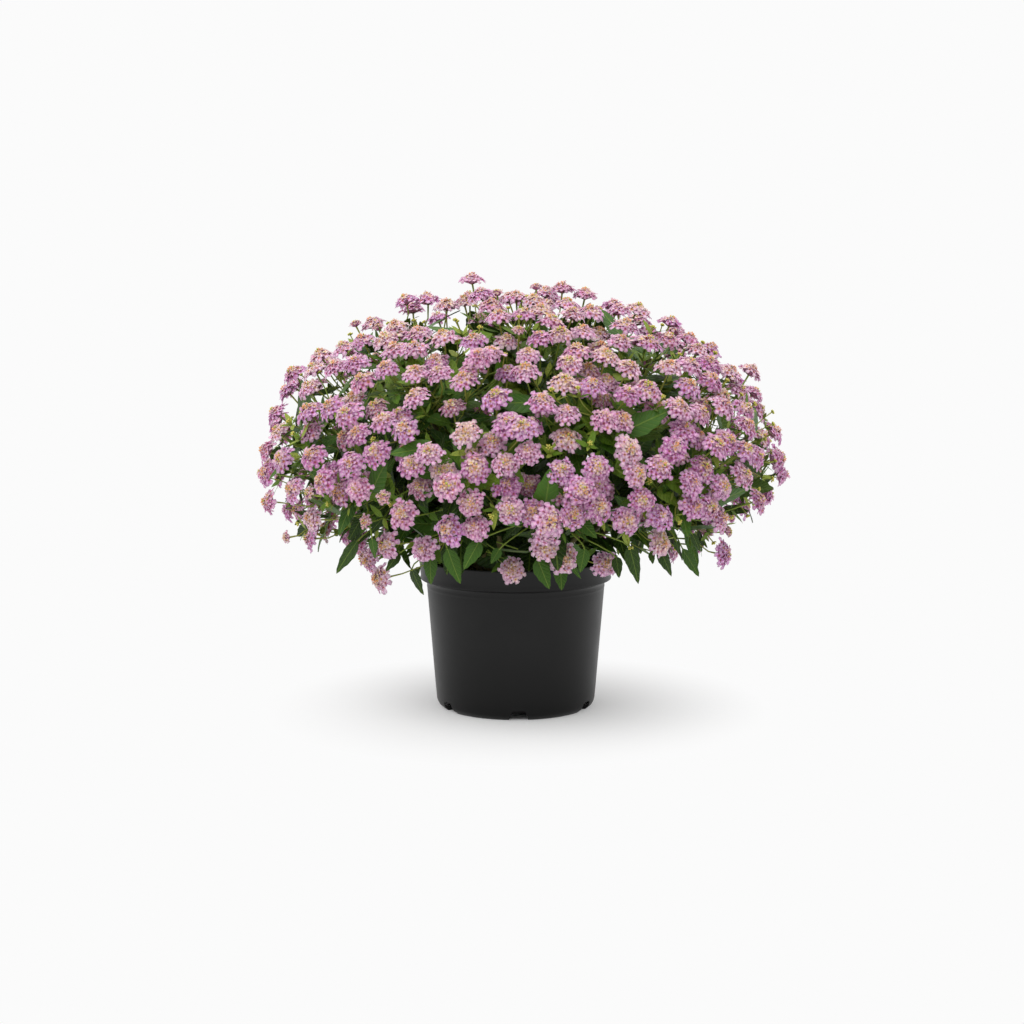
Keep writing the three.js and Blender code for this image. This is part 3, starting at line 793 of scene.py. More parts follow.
def tubes_of(kit, head, at, way):
    """The tubes that run from a head's neck to florets that stand at these places."""
    neck = neck_of(head)
    run = at - way * head.size - neck
    side = along_units(np.cross(run, head.face + OFF_FACE))
    square = along_units(np.cross(run, side))
    tube = kit.tube.points
    around = tube[:, :1] * side[:, None] + tube[:, 1:2] * square[:, None]
    tubes = neck + run[:, None] * tube[:, 2:3] + TUBE_RADIUS * head.size * around
    spots = np.tile(in_cell(kit.tube.spots, TUBE_COLUMN, head.row, PETAL_CELLS), (len(at), 1))
    return tubes.reshape(-1, 3), spots


def bud_of(kit, head, basis, i, rng):
    """One of the buds in a head's middle, the first in the very middle and the others round it."""
    angle = i * GOLDEN_ANGLE + rng.uniform(-0.3, 0.3)
    reach = (0.35 + 1.25 * math.sqrt(i)) * head.size
    height = BUD_HEIGHT - 0.13 * reach * reach - (YOUNG_BUD_SINK if kit.young else 0)
    at = head.at + spoke(basis, angle) * reach + head.face * height * head.size
    local = kit.bud.points * BUD_SIZE * head.size * rng.uniform(0.85, 1.2)
    points = at + local @ frame_on(unit(at - neck_of(head)), rng.uniform(0, ANY_TURN)).T
    fresh = rng.random() < (FRESH_IN_YOUNG if head.row == YOUNG_ROW else FRESH)
    return points, in_cell(kit.bud.spots, YOUNG_BUD_COLUMN if fresh else BUD_COLUMN, head.row, PETAL_CELLS)


def heart_of(kit, head, basis):
    wide = CORE_RADIUS * (YOUNG_CORE if kit.young else 1) * head.size
    local = kit.core.points * np.array([wide, wide, CORE_HALF * head.size])
    points = head.at + local @ basis.T - head.face * CORE_DEPTH * head.size
    return points, in_cell(kit.core.spots, TUBE_COLUMN, head.row, PETAL_CELLS)


def head_points(kit, head, rng):
    """The points and map of one head: its florets, their tubes, the buds in its middle and its heart."""
    basis = frame_on(head.face, rng.uniform(0, ANY_TURN))
    florets, spots, at, way = florets_of(kit, head, basis, rng)
    parts = [(florets, spots), tubes_of(kit, head, at[: kit.tubed], way[: kit.tubed])]
    parts += [bud_of(kit, head, basis, i, rng) for i in range(kit.buds)]
    parts.append(heart_of(kit, head, basis))
    return np.concatenate([part[0] for part in parts]), np.concatenate([part[1] for part in parts])


# ------------------------------------------------------------------ leaves

# The map of the greenery is four by four cells. The lowest three rows are leaves, the top row is stalks.
GREEN_CELLS = 4
STALK_ROW = 3


def leaf_points(blade, base, tip, up, width, curl, twist):
    """A blade's points from its stalk to its point, arched up between them and twisted along its length."""
    run = tip - base
    reach = length(run)
    along = run / reach
    up = unit(up - along * float(up @ along))
    side = np.cross(along, up)
    x, y, z = blade.points[:, 0] * width, blade.points[:, 1], blade.points[:, 2] * width
    arch = curl * reach * (y - y * y)
    lean = twist * (y - 0.3)
    c, s = np.cos(lean), np.sin(lean)
    across = x * c - z * s
    lift = x * s + z * c
    return base + np.outer(y * reach, along) + np.outer(across, side) + np.outer(lift + arch, up)


def bezier(a, b, c, d, steps):
    """Points along a curve from a to d that leaves a towards b and reaches d from c."""
    t = np.linspace(0, 1, steps + 1)[:, None]
    return a * (1 - t) ** 3 + b * 3 * t * (1 - t) ** 2 + c * 3 * t * t * (1 - t) + d * t**3


# ------------------------------------------------------------------ materials


class Shader:
    """A material's nodes, made by short calls."""

    def __init__(self, name, roughness):
        self.material = bpy.data.materials.new(name)
        self.material.use_nodes = True
        self.tree = self.material.node_tree
        self.surface = self.tree.nodes["Principled BSDF"]
        self.surface.inputs["Roughness"].default_value = roughness

    def node(self, kind, **settings):
        made = self.tree.nodes.new(kind)
        for name, value in settings.items():
            setattr(made, name, value)
        return made

    def put(self, value, socket):
        if isinstance(value, bpy.types.NodeSocket):
            self.tree.links.new(value, socket)
        elif value is not None:
            socket.default_value = value

    def give(self, name, value):
        """Sets or links one of the surface's own values."""
        self.put(value, self.surface.inputs[name])

    def place(self, kind="Object"):
        """Where a point lies on its piece, in metres, or on its map."""
        return self.node("ShaderNodeTexCoord").outputs[kind]

    def maths(self, operation, a, b=None, c=None):
        made = self.node("ShaderNodeMath", operation=operation)
        for value, socket in zip((a, b, c), made.inputs):
            self.put(value, socket)
        return made.outputs[0]

    def distance(self, x, y):
        squares = [self.maths("MULTIPLY", value, value) for value in (x, y)]
        return self.maths("SQRT", self.maths("ADD", *squares))

    def spread(self, value, low, high, to_low=0.0, to_high=1.0, smooth=True):
        """A value's range moved to another, with soft ends."""
        made = self.node("ShaderNodeMapRange", interpolation_type="SMOOTHSTEP" if smooth else "LINEAR")
        for number, socket in zip((value, low, high, to_low, to_high), made.inputs):
            self.put(number, socket)
        return made.outputs[0]

    def ramp(self, value, stops, steps=False):
        made = self.node("ShaderNodeValToRGB")
        band = made.color_ramp
        band.interpolation = "CONSTANT" if steps else "LINEAR"
        while len(band.elements) < len(stops):
            band.elements.new(0.5)
        for element, (place, colour) in zip(band.elements, stops):
            element.position = place
            element.color = colour
        self.put(value, made.inputs[0])
        return made.outputs[0]

    def choose(self, number, colours):
        """One of the colours, by a whole number from 0."""
        count = len(colours)
        middle = self.maths("DIVIDE", self.maths("ADD", number, 0.5), count)
        return self.ramp(middle, [(i / count, colour) for i, colour in enumerate(colours)], steps=True)

    def blend(self, share, a, b):
        made = self.node("ShaderNodeMix", data_type="RGBA")
        for value, socket in zip((share, a, b), (made.inputs[0], made.inputs[6], made.inputs[7])):
            self.put(value, socket)
        return made.outputs[2]

    def noise(self, vector, scale, detail=3.0, roughness=0.55):
        made = self.node("ShaderNodeTexNoise")
        self.put(vector, made.inputs["Vector"])
        made.inputs["Scale"].default_value = scale
        made.inputs["Detail"].default_value = detail
        made.inputs["Roughness"].default_value = roughness
        return made.outputs["Fac"]

    def bump(self, height, strength, distance):
        """Raises the surface by a height, at most by a distance in metres."""
        made = self.node("ShaderNodeBump")
        made.inputs["Strength"].default_value = strength
        made.inputs["Distance"].default_value = distance
        self.put(height, made.inputs["Height"])
        self.give("Normal", made.outputs[0])

    def apart(self, place):
        """A place's three measures."""
        made = self.node("ShaderNodeSeparateXYZ")
        self.put(place, made.inputs[0])
        return made.outputs

    def cells(self, count):
        """The map as a grid: a cell's column and row, and the place in it from 0 to 1 both ways."""
        x, y, _ = self.apart(self.place("UV"))
        across = self.maths("MULTIPLY", x, count)
        up = self.maths("MULTIPLY", y, count)
        return SimpleNamespace(
            column=self.maths("FLOOR", across),
            row=self.maths("FLOOR", up),
            x=self.maths("FRACT", across),
            y=self.maths("FRACT", up),
        )


def rgb(red, green, blue):
    """A colour as numbers from 0 to 255, as the light it stands for."""

    def light(value):
        value /= 255
        return value / 12.92 if value <= 0.04045 else ((value + 0.055) / 1.055) ** 2.4

    return (light(red), light(green), light(blue), 1.0)


def grey(value):
    return (value, value, value, 1)


# The tint of each row of the flowers' map: six for heads in full flower, a dull one and a young one.
ROW_TINTS = (
    rgb(220, 142, 200), rgb(234, 164, 207), rgb(200, 114, 178), rgb(224, 144, 188),
    rgb(212, 138, 204), rgb(244, 184, 218), rgb(164, 102, 126), rgb(222, 148, 162),
)
# How far each column's florets are pale, and the colour of their throats.
COLUMN_PALENESS = (0.0, 0.08, 0.45, 0.8, 0.95, 0.1, 0.0, 0.0)
COLUMN_THROATS = (
    rgb(158, 86, 104), rgb(190, 124, 100), rgb(214, 164, 98), rgb(226, 180, 102),
    rgb(234, 194, 120), rgb(180, 120, 130), rgb(176, 120, 130), rgb(196, 176, 96),
)
# From green at the foot to mauve, and from the foot of a bud to its tip.
TUBE_COLOURS = (
    (0.0, rgb(122, 128, 72)), (0.4, rgb(168, 112, 132)), (0.7, rgb(188, 122, 168)), (1.0, rgb(192, 128, 172)),
)
BUD_COLOURS = ((0.1, rgb(150, 108, 62)), (0.55, rgb(220, 172, 122)), (1.0, rgb(190, 128, 96)))
YOUNG_BUD_COLOURS = ((0.1, rgb(104, 124, 40)), (0.6, rgb(168, 174, 72)), (1.0, rgb(200, 184, 96)))


PETAL_LINES = 28


def petal_material():
    s = Shader("lantana petals", 0.6)
    cell = s.cells(PETAL_CELLS)
    x, y = s.maths("SUBTRACT", cell.x, 0.5), s.maths("SUBTRACT", cell.y, 0.5)
    out = s.maths("DIVIDE", s.distance(x, y), LIMB_ON_MAP)
    angle = s.maths("ARCTAN2", y, x)
    petal = s.choose(cell.row, ROW_TINTS)
    petal = s.blend(s.choose(cell.column, [grey(v) for v in COLUMN_PALENESS]), petal, rgb(246, 208, 160))
    # A lobe has a painted highlight down its middle and painted shade between lobes, is deeper at its edge,
    # and has fine lines from the throat.
    between = s.maths("MULTIPLY_ADD", s.maths("COSINE", s.maths("MULTIPLY", angle, LOBES)), -0.5, 0.5)
    # Painted highlight down each lobe's middle.
    middle = s.maths("MULTIPLY", s.spread(between, 0.02, 0.5, 1.0, 0.0), s.spread(out, 0.3, 0.75))
    petal = s.blend(s.maths("MULTIPLY", middle, 0.4), petal, rgb(250, 224, 228))
    # Painted shade between the lobes.
    petal = s.blend(s.maths("MULTIPLY", s.spread(between, 0.25, 0.9), 0.42), petal, rgb(148, 74, 140))
    petal = s.blend(s.spread(out, 0.2, 0.55, 0.4, 0.0), petal, rgb(156, 78, 124))
    lines = s.maths("MULTIPLY_ADD", s.maths("SINE", s.maths("MULTIPLY", angle, PETAL_LINES)), 0.05, 0.05)
    petal = s.blend(lines, petal, rgb(140, 70, 124))
    # Fine mottling all over.
    mottle = s.noise(s.place(), 620.0, 2.0, 0.6)
    petal = s.blend(s.spread(mottle, 0.3, 0.5, 0.42, 0.0), petal, rgb(164, 88, 148))
    petal = s.blend(s.spread(mottle, 0.52, 0.72, 0.0, 0.4), petal, rgb(252, 230, 232))
    petal = s.blend(s.spread(out, 0.84, 1.0, 0.0, 0.35), petal, rgb(176, 96, 158))
    colour = s.blend(s.spread(out, 0.2, 0.44, 1.0, 0.0), petal, s.choose(cell.column, COLUMN_THROATS))
    colour = s.blend(s.spread(out, 0.06, 0.18, 0.8, 0.0), colour, rgb(110, 60, 44))
    # From a column on, the map holds tubes, then buds, then young buds.
    for first, stops in (
        (TUBE_COLUMN, TUBE_COLOURS), (BUD_COLUMN, BUD_COLOURS), (YOUNG_BUD_COLUMN, YOUNG_BUD_COLOURS)
    ):
        colour = s.blend(s.maths("GREATER_THAN", cell.column, first - 0.5), colour, s.ramp(cell.y, stops))
    s.give("Base Color", colour)
    s.give("Specular IOR Level", 0.25)
    # Light comes a little way through a petal.
    s.give("Subsurface Weight", 0.65)
    s.give("Subsurface Radius", (1.0, 0.6, 0.85))
    s.give("Subsurface Scale", 0.002)
    return s.material


# The cells of the leaves' three rows, from the left of the lowest row.
LEAF_GREENS = (
    rgb(50, 84, 16), rgb(78, 112, 26), rgb(28, 50, 9), rgb(110, 138, 40),
    rgb(54, 90, 22), rgb(34, 58, 10), rgb(134, 152, 48), rgb(62, 100, 26),
    rgb(24, 44, 8), rgb(96, 126, 30), rgb(50, 86, 24), rgb(158, 172, 70),
)
# The cells of the stalks' row: green, yellow-green, woody and pale.
STALK_COLOURS = (rgb(128, 152, 48), rgb(156, 164, 66), rgb(84, 74, 42), rgb(180, 190, 80))
SIDE_VEINS = 8


def leaf_material():
    s = Shader("lantana leaf", 0.46)
    cell = s.cells(GREEN_CELLS)
    under = s.maths("GREATER_THAN", cell.x, 0.5)
    # Across the blade from its midrib, and along it.
    x = s.maths("SUBTRACT", s.maths("FRACT", s.maths("MULTIPLY", cell.x, 2.0)), 0.5)
    across = s.maths("ABSOLUTE", x)
    number = s.maths("ADD", cell.column, s.maths("MULTIPLY", cell.row, GREEN_CELLS))
    green = s.choose(number, LEAF_GREENS)
    # Side veins run from the midrib up towards the point.
    rise = s.maths("SUBTRACT", cell.y, s.maths("MULTIPLY", across, 0.75))
    share = s.maths("FRACT", s.maths("MULTIPLY", rise, SIDE_VEINS))
    wave = s.maths("ABSOLUTE", s.maths("SUBTRACT", share, 0.5))
    side_vein = s.spread(wave, 0.0, 0.10, 1.0, 0.0)
    midrib = s.spread(across, 0.008, 0.03, 1.0, 0.0)
    vein = s.maths("MAXIMUM", s.maths("MULTIPLY", side_vein, 0.55), midrib)
    mottle = s.noise(s.place("UV"), 70.0, 3.0)
    colour = s.blend(s.spread(mottle, 0.35, 0.7, 0.0, 0.4), green, rgb(62, 96, 20))
    colour = s.blend(s.maths("MULTIPLY", vein, 0.42), colour, rgb(118, 142, 56))
    colour = s.blend(s.maths("MULTIPLY", under, 0.4), colour, rgb(92, 116, 56))
    s.give("Base Color", colour)
    s.give("Specular IOR Level", 0.24)
    pillow = s.maths("SUBTRACT", s.maths("MULTIPLY", wave, 1.2), vein)
    s.bump(s.maths("ADD", pillow, s.maths("MULTIPLY", mottle, 0.5)), 0.6, 0.0006)
    return s.material


def stalk_material():
    s = Shader("lantana stalk", 0.6)
    base = s.choose(s.cells(GREEN_CELLS).column, STALK_COLOURS)
    streak = s.noise(s.place("UV"), 46.0, 4.0, 0.7)
    s.give("Base Color", s.blend(s.spread(streak, 0.3, 0.75, 0.0, 0.5), base, rgb(80, 90, 36)))
    s.bump(streak, 0.3, 0.0004)
    return s.material


def pot_material():
    s = Shader("black moulded plastic", 0.4)
    place = s.place()
    cloud = s.noise(place, 22.0, 4.0)
    grain = s.noise(place, 1400.0, 2.0)
    colour = s.blend(s.spread(cloud, 0.3, 0.7, 0.0, 1.0), rgb(21, 21, 21), rgb(26, 26, 26))
    # Painted shade: darker towards its foot, where it faces the shadowed floor.
    colour = s.blend(s.spread(s.apart(place)[2], 0.0, 0.11, 1.0, 0.0), colour, rgb(6, 6, 6))
    s.give("Base Color", colour)
    s.give("Roughness", s.spread(cloud, 0.3, 0.75, 0.36, 0.44))
    s.give("Specular IOR Level", 0.21)
    s.bump(s.maths("ADD", grain, s.maths("MULTIPLY", cloud, 0.6)), 0.08, 0.0003)
    return s.material


def soil_material():
    s = Shader("potting soil", 0.95)
    place = s.place()
    cloud = s.noise(place, 60.0, 5.0, 0.7)
    grain = s.noise(place, 420.0, 4.0, 0.7)
    colour = s.ramp(cloud, [(0.3, rgb(34, 25, 19)), (0.55, rgb(58, 43, 32)), (0.75, rgb(86, 68, 50))])
    s.give("Base Color", s.blend(s.spread(grain, 0.45, 0.75, 0.0, 0.5), colour, rgb(24, 18, 14)))
    s.bump(s.maths("ADD", grain, cloud), 0.8, 0.002)
    return s.material


def floor_material():
    """White round the pot, where its shadow falls and a faint painted glow lifts it, and as bright as the
    room further out.
    """
    s = Shader("pale floor", 0.9)
    place = s.place()
    x, y, _ = s.apart(place)
    far = s.distance(x, y)
    bright = s.spread(far, *FLOOR_FADE, smooth=False)
    glow_outside_pot = s.spread(far, *UNDER_POT)
    near = s.blend(s.noise(place, 3.0, 2.0), grey(FLOOR_BASE), grey(FLOOR_BASE + 0.006))
    s.give("Base Color", s.blend(bright, near, grey(0)))
    s.give("Specular IOR Level", 0.0)
    s.give("Emission Color", grey(1))
    # Painted light: a faint glow near the pot lifts its shadow, rising to the room's brightness further out,
    # with none under the pot.
    glow = s.maths("MULTIPLY_ADD", bright, ROOM - SHADOW_FILL_GLOW, SHADOW_FILL_GLOW)
    s.give("Emission Strength", s.maths("MULTIPLY", glow, glow_outside_pot))
    return s.material


# ------------------------------------------------------------------ finished pieces


def object_of(bm, name, materials=()):
    """A mesh in the making as an object in the scene."""
    mesh = bpy.data.meshes.new(name)
    bm.to_mesh(mesh)
    bm.free()
    for material in materials:
        mesh.materials.append(material)
    made = bpy.data.objects.new(name, mesh)
    bpy.context.scene.collection.objects.link(made)
    return made


def piece_of(bm, name, materials, slot, *nodes):
    """A finished mesh as a piece that rides on the part and stands for its plain solids."""
    made = object_of(bm, name, materials)
    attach(made, "root")
    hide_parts(*nodes)


# ------------------------------------------------------------------ the pot

POT_SIDES, WALL_STEPS = 144, 8
# An edge where the pot's faces turn by this or more, in degrees, is drawn sharp.
HARD_EDGE = 32
# A notch's cutter goes from inside the foot ring out through the heel, wider at its foot, with round corners.
NOTCH_START, NOTCH_DEPTH, NOTCH_FLARE, NOTCH_ROUND = FOOT_INNER - 4, 32, 1.2, 1.4


def pot_profile():
    """Half the pot cut down its axis, as distances from it and heights, from its underside to its floor."""
    lip = POT_HEIGHT - LIP_DEPTH
    profile = [
        (0, 0), (PAD_RADIUS - 1, 0), (PAD_RADIUS, 0.2),
        (PAD_RADIUS + 2, PAD_STEP - 0.2), (PAD_RADIUS + 2.6, PAD_STEP),
        (FOOT_INNER - 2.6, PAD_STEP), (FOOT_INNER - 2, PAD_STEP - 0.2),
        (FOOT_INNER - 0.6, 0.2), (FOOT_INNER, 0), (FOOT_OUTER, 0),
        (FOOT_OUTER + 0.8, 0.2), (FOOT_OUTER + 2.1, 1.3), (HEEL_RADIUS - 2.0, 3.2),
        (HEEL_RADIUS - 0.9, 5.4), (HEEL_RADIUS - 0.2, 7.8),
    ]
    # The tapered wall.
    foot, top = 8, lip - 10
    for i in range(1, WALL_STEPS + 1):
        share = i / WALL_STEPS
        profile.append((HEEL_RADIUS + (NECK_RADIUS - HEEL_RADIUS) * share, foot + (top - foot) * share))
    # A fine ridge, the step out to the lip, the lip with its round edge, and the way down inside.
    profile += [
        (NECK_RADIUS + 0.02, lip - 8.6), (NECK_RADIUS + 0.25, lip - 8.0), (NECK_RADIUS + 0.4, lip - 7.2),
        (NECK_RADIUS + 0.22, lip - 6.3), (NECK_RADIUS + 0.45, lip - 4.0), (NECK_RADIUS + 1.1, lip - 2.4),
        (NECK_RADIUS + 2.4, lip - 1.2), (RIM_RADIUS - 3.6, lip - 0.4), (RIM_RADIUS - 2.0, lip - 0.1),
        (RIM_RADIUS - 1.0, lip + 0.5), (RIM_RADIUS - 0.85, lip + 1.3), (RIM_RADIUS - 1.4, lip + 3.2),
        (RIM_RADIUS - 1.0, lip + 7.0), (RIM_RADIUS - 0.1, POT_HEIGHT - 2.4),
        (RIM_RADIUS + 0.3, POT_HEIGHT - 1.6), (RIM_RADIUS + 0.35, POT_HEIGHT - 0.8),
        (RIM_RADIUS, POT_HEIGHT - 0.1), (RIM_RADIUS - 0.6, POT_HEIGHT),
        (RIM_RADIUS - WALL, POT_HEIGHT - 0.05), (RIM_RADIUS - WALL - 0.4, POT_HEIGHT - 0.6),
        (RIM_RADIUS - WALL - 0.9, lip + 2), (NECK_RADIUS - WALL, lip - 1),
        (HEEL_RADIUS - WALL, FLOOR_TOP + 1), (HEEL_RADIUS - WALL - 2, FLOOR_TOP), (0, FLOOR_TOP),
    ]
    return profile


def pot_shell():
    bm = bmesh.new()
    verts = [bm.verts.new((r * METRE, 0, z * METRE)) for r, z in pot_profile()]
    edges = [bm.edges.new(pair) for pair in zip(verts, verts[1:])]
    bmesh.ops.spin(
        bm, geom=verts + edges, cent=(0, 0, 0), axis=(0, 0, 1), dvec=(0, 0, 0),
        angle=math.tau, steps=POT_SIDES, use_merge=True,
    )
    bmesh.ops.remove_doubles(bm, verts=bm.verts, dist=TINY)
    bmesh.ops.recalc_face_normals(bm, faces=bm.faces)
    return object_of(bm, "pot shell")


def notch_cutter():
    """All that the drain notches take out of the pot."""
    bm = bmesh.new()
    bmesh.ops.create_cube(bm, size=1)
    for vert in bm.verts:
        width = NOTCH_FOOT_WIDTH + NOTCH_FLARE if vert.co.z < 0 else NOTCH_TOP_WIDTH
        height = -1.0 if vert.co.z < 0 else NOTCH_HEIGHT
        away = NOTCH_START + (NOTCH_DEPTH if vert.co.y < 0 else 0)
        vert.co = Vector((vert.co.x * width, -away, height)) * METRE
    outward_edges = [e for e in bm.edges if abs(e.verts[0].co.y - e.verts[1].co.y) > METRE]
    top = [e for e in outward_edges if all(v.co.z > 0 for v in e.verts)]
    bmesh.ops.bevel(
        bm, geom=top, offset=NOTCH_ROUND * METRE, segments=3, profile=0.5, affect="EDGES", material=-1
    )
    bmesh.ops.recalc_face_normals(bm, faces=bm.faces)
    notch = bpy.data.meshes.new("notch")
    bm.to_mesh(notch)
    bm.clear()
    notch.transform(Matrix.Rotation(rad(NOTCH_TURN), 4, "Z"))
    for _ in range(NOTCHES):
        bm.from_mesh(notch)
        notch.transform(Matrix.Rotation(math.tau / NOTCHES, 4, "Z"))
    return object_of(bm, "notches")


def make_pot(material):
    shell, cutter = pot_shell(), notch_cutter()
    modifier = shell.modifiers.new("notches", "BOOLEAN")
    modifier.object = cutter
    modifier.operation = "DIFFERENCE"
    modifier.solver = "EXACT"
    bpy.context.view_layer.update()
    cut = bpy.data.meshes.new_from_object(shell.evaluated_get(bpy.context.evaluated_depsgraph_get()))
    for made in (shell, cutter):
        bpy.data.objects.remove(made)
    bm = bmesh.new()
    bm.from_mesh(cut)
    bmesh.ops.remove_doubles(bm, verts=bm.verts, dist=TINY)
    for face in bm.faces:
        face.smooth = True
    bm.normal_update()
    for edge in bm.edges:
        if len(edge.link_faces) == 2:
            edge.smooth = edge.calc_face_angle() < rad(HARD_EDGE)
    piece_of(bm, "nursery_pot", [material], "pot_plastic", "pot")


# ------------------------------------------------------------------ the soil

SOIL_RADIUS = RIM_RADIUS - WALL - 1.9
SOIL_SIDES, SOIL_RINGS, SOIL_ROUGHNESS = 72, 11, 0.9
# The ball of soil goes down inside the lip, under the lip and down the tapered wall: heights and radii.
SOIL_SKIRT = ((129.4, SOIL_RADIUS - 0.2), (125.6, NECK_RADIUS - WALL - 1.0), (13, HEEL_RADIUS - WALL - 1.2))
CRUMBS, CRUMB_SIZES, CRUMB_SQUASH, CRUMB_LIFT, CRUMB_TURN = 420, (0.8, 2.6), 0.7, 0.3, 6.3


def soil_level(r):
    """The soil's height by the distance from its middle, where it is highest."""
    return SOIL_CROWN + (SOIL_EDGE - SOIL_CROWN) * (r / SOIL_RADIUS) ** 2


def make_soil(material, rng):
    bm = bmesh.new()
    bmesh.ops.create_circle(bm, cap_ends=True, segments=SOIL_SIDES, radius=SOIL_RADIUS * METRE)
    middle, step = list(bm.faces), SOIL_RADIUS / (SOIL_RINGS + 1) * METRE
    for _ in range(SOIL_RINGS):
        bmesh.ops.inset_region(bm, faces=middle, thickness=step, use_boundary=True)
    for vert in bm.verts:
        r = vert.co.xy.length / METRE
        rough = 0.0 if r > SOIL_RADIUS - 0.1 else rng.uniform(-SOIL_ROUGHNESS, SOIL_ROUGHNESS)
        vert.co.z = (soil_level(r) + rough) * METRE
    skirt = [e for e in bm.edges if e.is_boundary]
    for height, radius in SOIL_SKIRT:
        grown = bmesh.ops.extrude_edge_only(bm, edges=skirt)["geom"]
        skirt = edges_of(grown)
        for vert in points_of(grown):
            flat = vert.co.xy.normalized() * radius * METRE
            vert.co = Vector((flat.x, flat.y, height * METRE))
    bmesh.ops.holes_fill(bm, edges=skirt)
    bmesh.ops.recalc_face_normals(bm, faces=bm.faces)
    # Crumbs and chips of bark lie over it.
    for _ in range(CRUMBS):
        r, turn = SOIL_RADIUS * math.sqrt(rng.random()) * 0.97, rng.uniform(0, math.tau)
        size = rng.uniform(*CRUMB_SIZES) * METRE
        crumb = bmesh.ops.create_icosphere(bm, subdivisions=1, radius=size)["verts"]
        for vert in crumb:
            vert.co *= rng.uniform(0.75, 1.2)
            vert.co.z *= CRUMB_SQUASH
        spot = Vector((r * math.cos(turn), r * math.sin(turn), soil_level(r) + CRUMB_LIFT))
        place = Matrix.Translation(spot * METRE) @ Matrix.Rotation(rng.uniform(0, CRUMB_TURN), 4, "Z")
        bmesh.ops.transform(bm, matrix=place, verts=crumb)
    piece_of(bm, "potting_soil", [material], "soil", "soil")


# ------------------------------------------------------------------ the plant's tints

# How many of the heads have each of the six tints: deep among the others, at the top, and hanging lowest.
# This is painted light and shade: deeper tints where the heads are in shade, paler ones where the light falls
# on them.
SHADED_INNER_TINTS = np.array([0.3, 0.14, 0.24, 0.16, 0.12, 0.04])
TOP_LIT_TINTS = np.array([0.14, 0.3, 0.03, 0.12, 0.1, 0.31])
HANGING_LIT_TINTS = np.array([0.08, 0.46, 0.0, 0.04, 0.12, 0.3])
HANGING_BELOW = 205.0
# From this height up heads stand more and more in the light and are painted paler, until they do so wholly
# this much higher.
LIT_FROM, LIT_OVER = 240, 130
DULL_SHARE = 0.6

# Cells of the map of the greenery, by how bright the leaf is, and columns of its row of stalks. The dark
# cells are painted shade, given to leaves that stand in the shade, and the bright ones are mostly painted
# light high up.
SHADE_GREENS, MIDDLING, BRIGHT, NEW = (2, 5, 8), (0, 4, 7, 10), (1, 3, 9), (6, 11)
GREEN_STALK, YELLOW_STALK, WOODY_STALK, PALE_STALK = 0, 1, 2, 3
# Heights below which leaves are painted darker, as painted shade: on the front, on the stalks of low heads
# and of all but high ones, and inside the dome.
SHADE_TOP, LOW_HEADS, HIGH_HEADS = 250, 230, 300
DARK_INSIDE, DIM_INSIDE = 270, 310


def tint_of(head, rng):
    if head.kind == "d":
        return DULL_ROW if rng.random() < DULL_SHARE else DEEP_ROW
    if head.kind == "s":
        return YOUNG_ROW
    # The heads in the light, at the top and still more at the very bottom, are painted the palest, as painted
    # light.
    if head.at[2] < HANGING_BELOW:
        return int(rng.choice(TINTS, p=HANGING_LIT_TINTS))
    lit = min(max((head.at[2] - LIT_FROM) / LIT_OVER, 0), 1)
    return int(rng.choice(TINTS, p=SHADED_INNER_TINTS * (1 - lit) + TOP_LIT_TINTS * lit))


def in_shade(at):
    """Low on the front, where the leaves stand in shade and are painted the darkest, as painted shade."""
    return at[2] < SHADE_TOP and at[1] < -2 * abs(at[0] - CENTRE[0])


def greens_under(head):
    """Cells for the leaves on a head's stalk, painted brighter the higher it stands: painted light and shade.
    """
    if in_shade(head.at):
        return SHADE_GREENS + SHADE_GREENS + MIDDLING[:1]
    if head.at[2] < LOW_HEADS:
        return MIDDLING + SHADE_GREENS + SHADE_GREENS
    if head.at[2] < HIGH_HEADS:
        return BRIGHT + MIDDLING
    return BRIGHT + MIDDLING + BRIGHT + NEW[:1]


# Painted shade: leaves deep inside the dome get darker greens the lower they stand, and bright ones only high
# up.
def greens_inside(height):
    if height < DARK_INSIDE:
        return SHADE_GREENS
    return SHADE_GREENS + MIDDLING if height < DIM_INSIDE else MIDDLING + BRIGHT + BRIGHT


# ------------------------------------------------------------------ the whole plant

BRANCH_STEPS, STALK_STEPS, TWIG_STEPS = 12, 5, 2
PETIOLE_RADIUS, SPRIG_RADIUS, SHOOT_RADIUS = (0.9, 0.7), (0.7, 0.55), (0.5, 0.38)
# How long a stalk would best be: a head's, a bud cluster's and a large leaf's.
HEAD_STALK, BUD_STALK, LEAF_STALK = 46, 34, 24


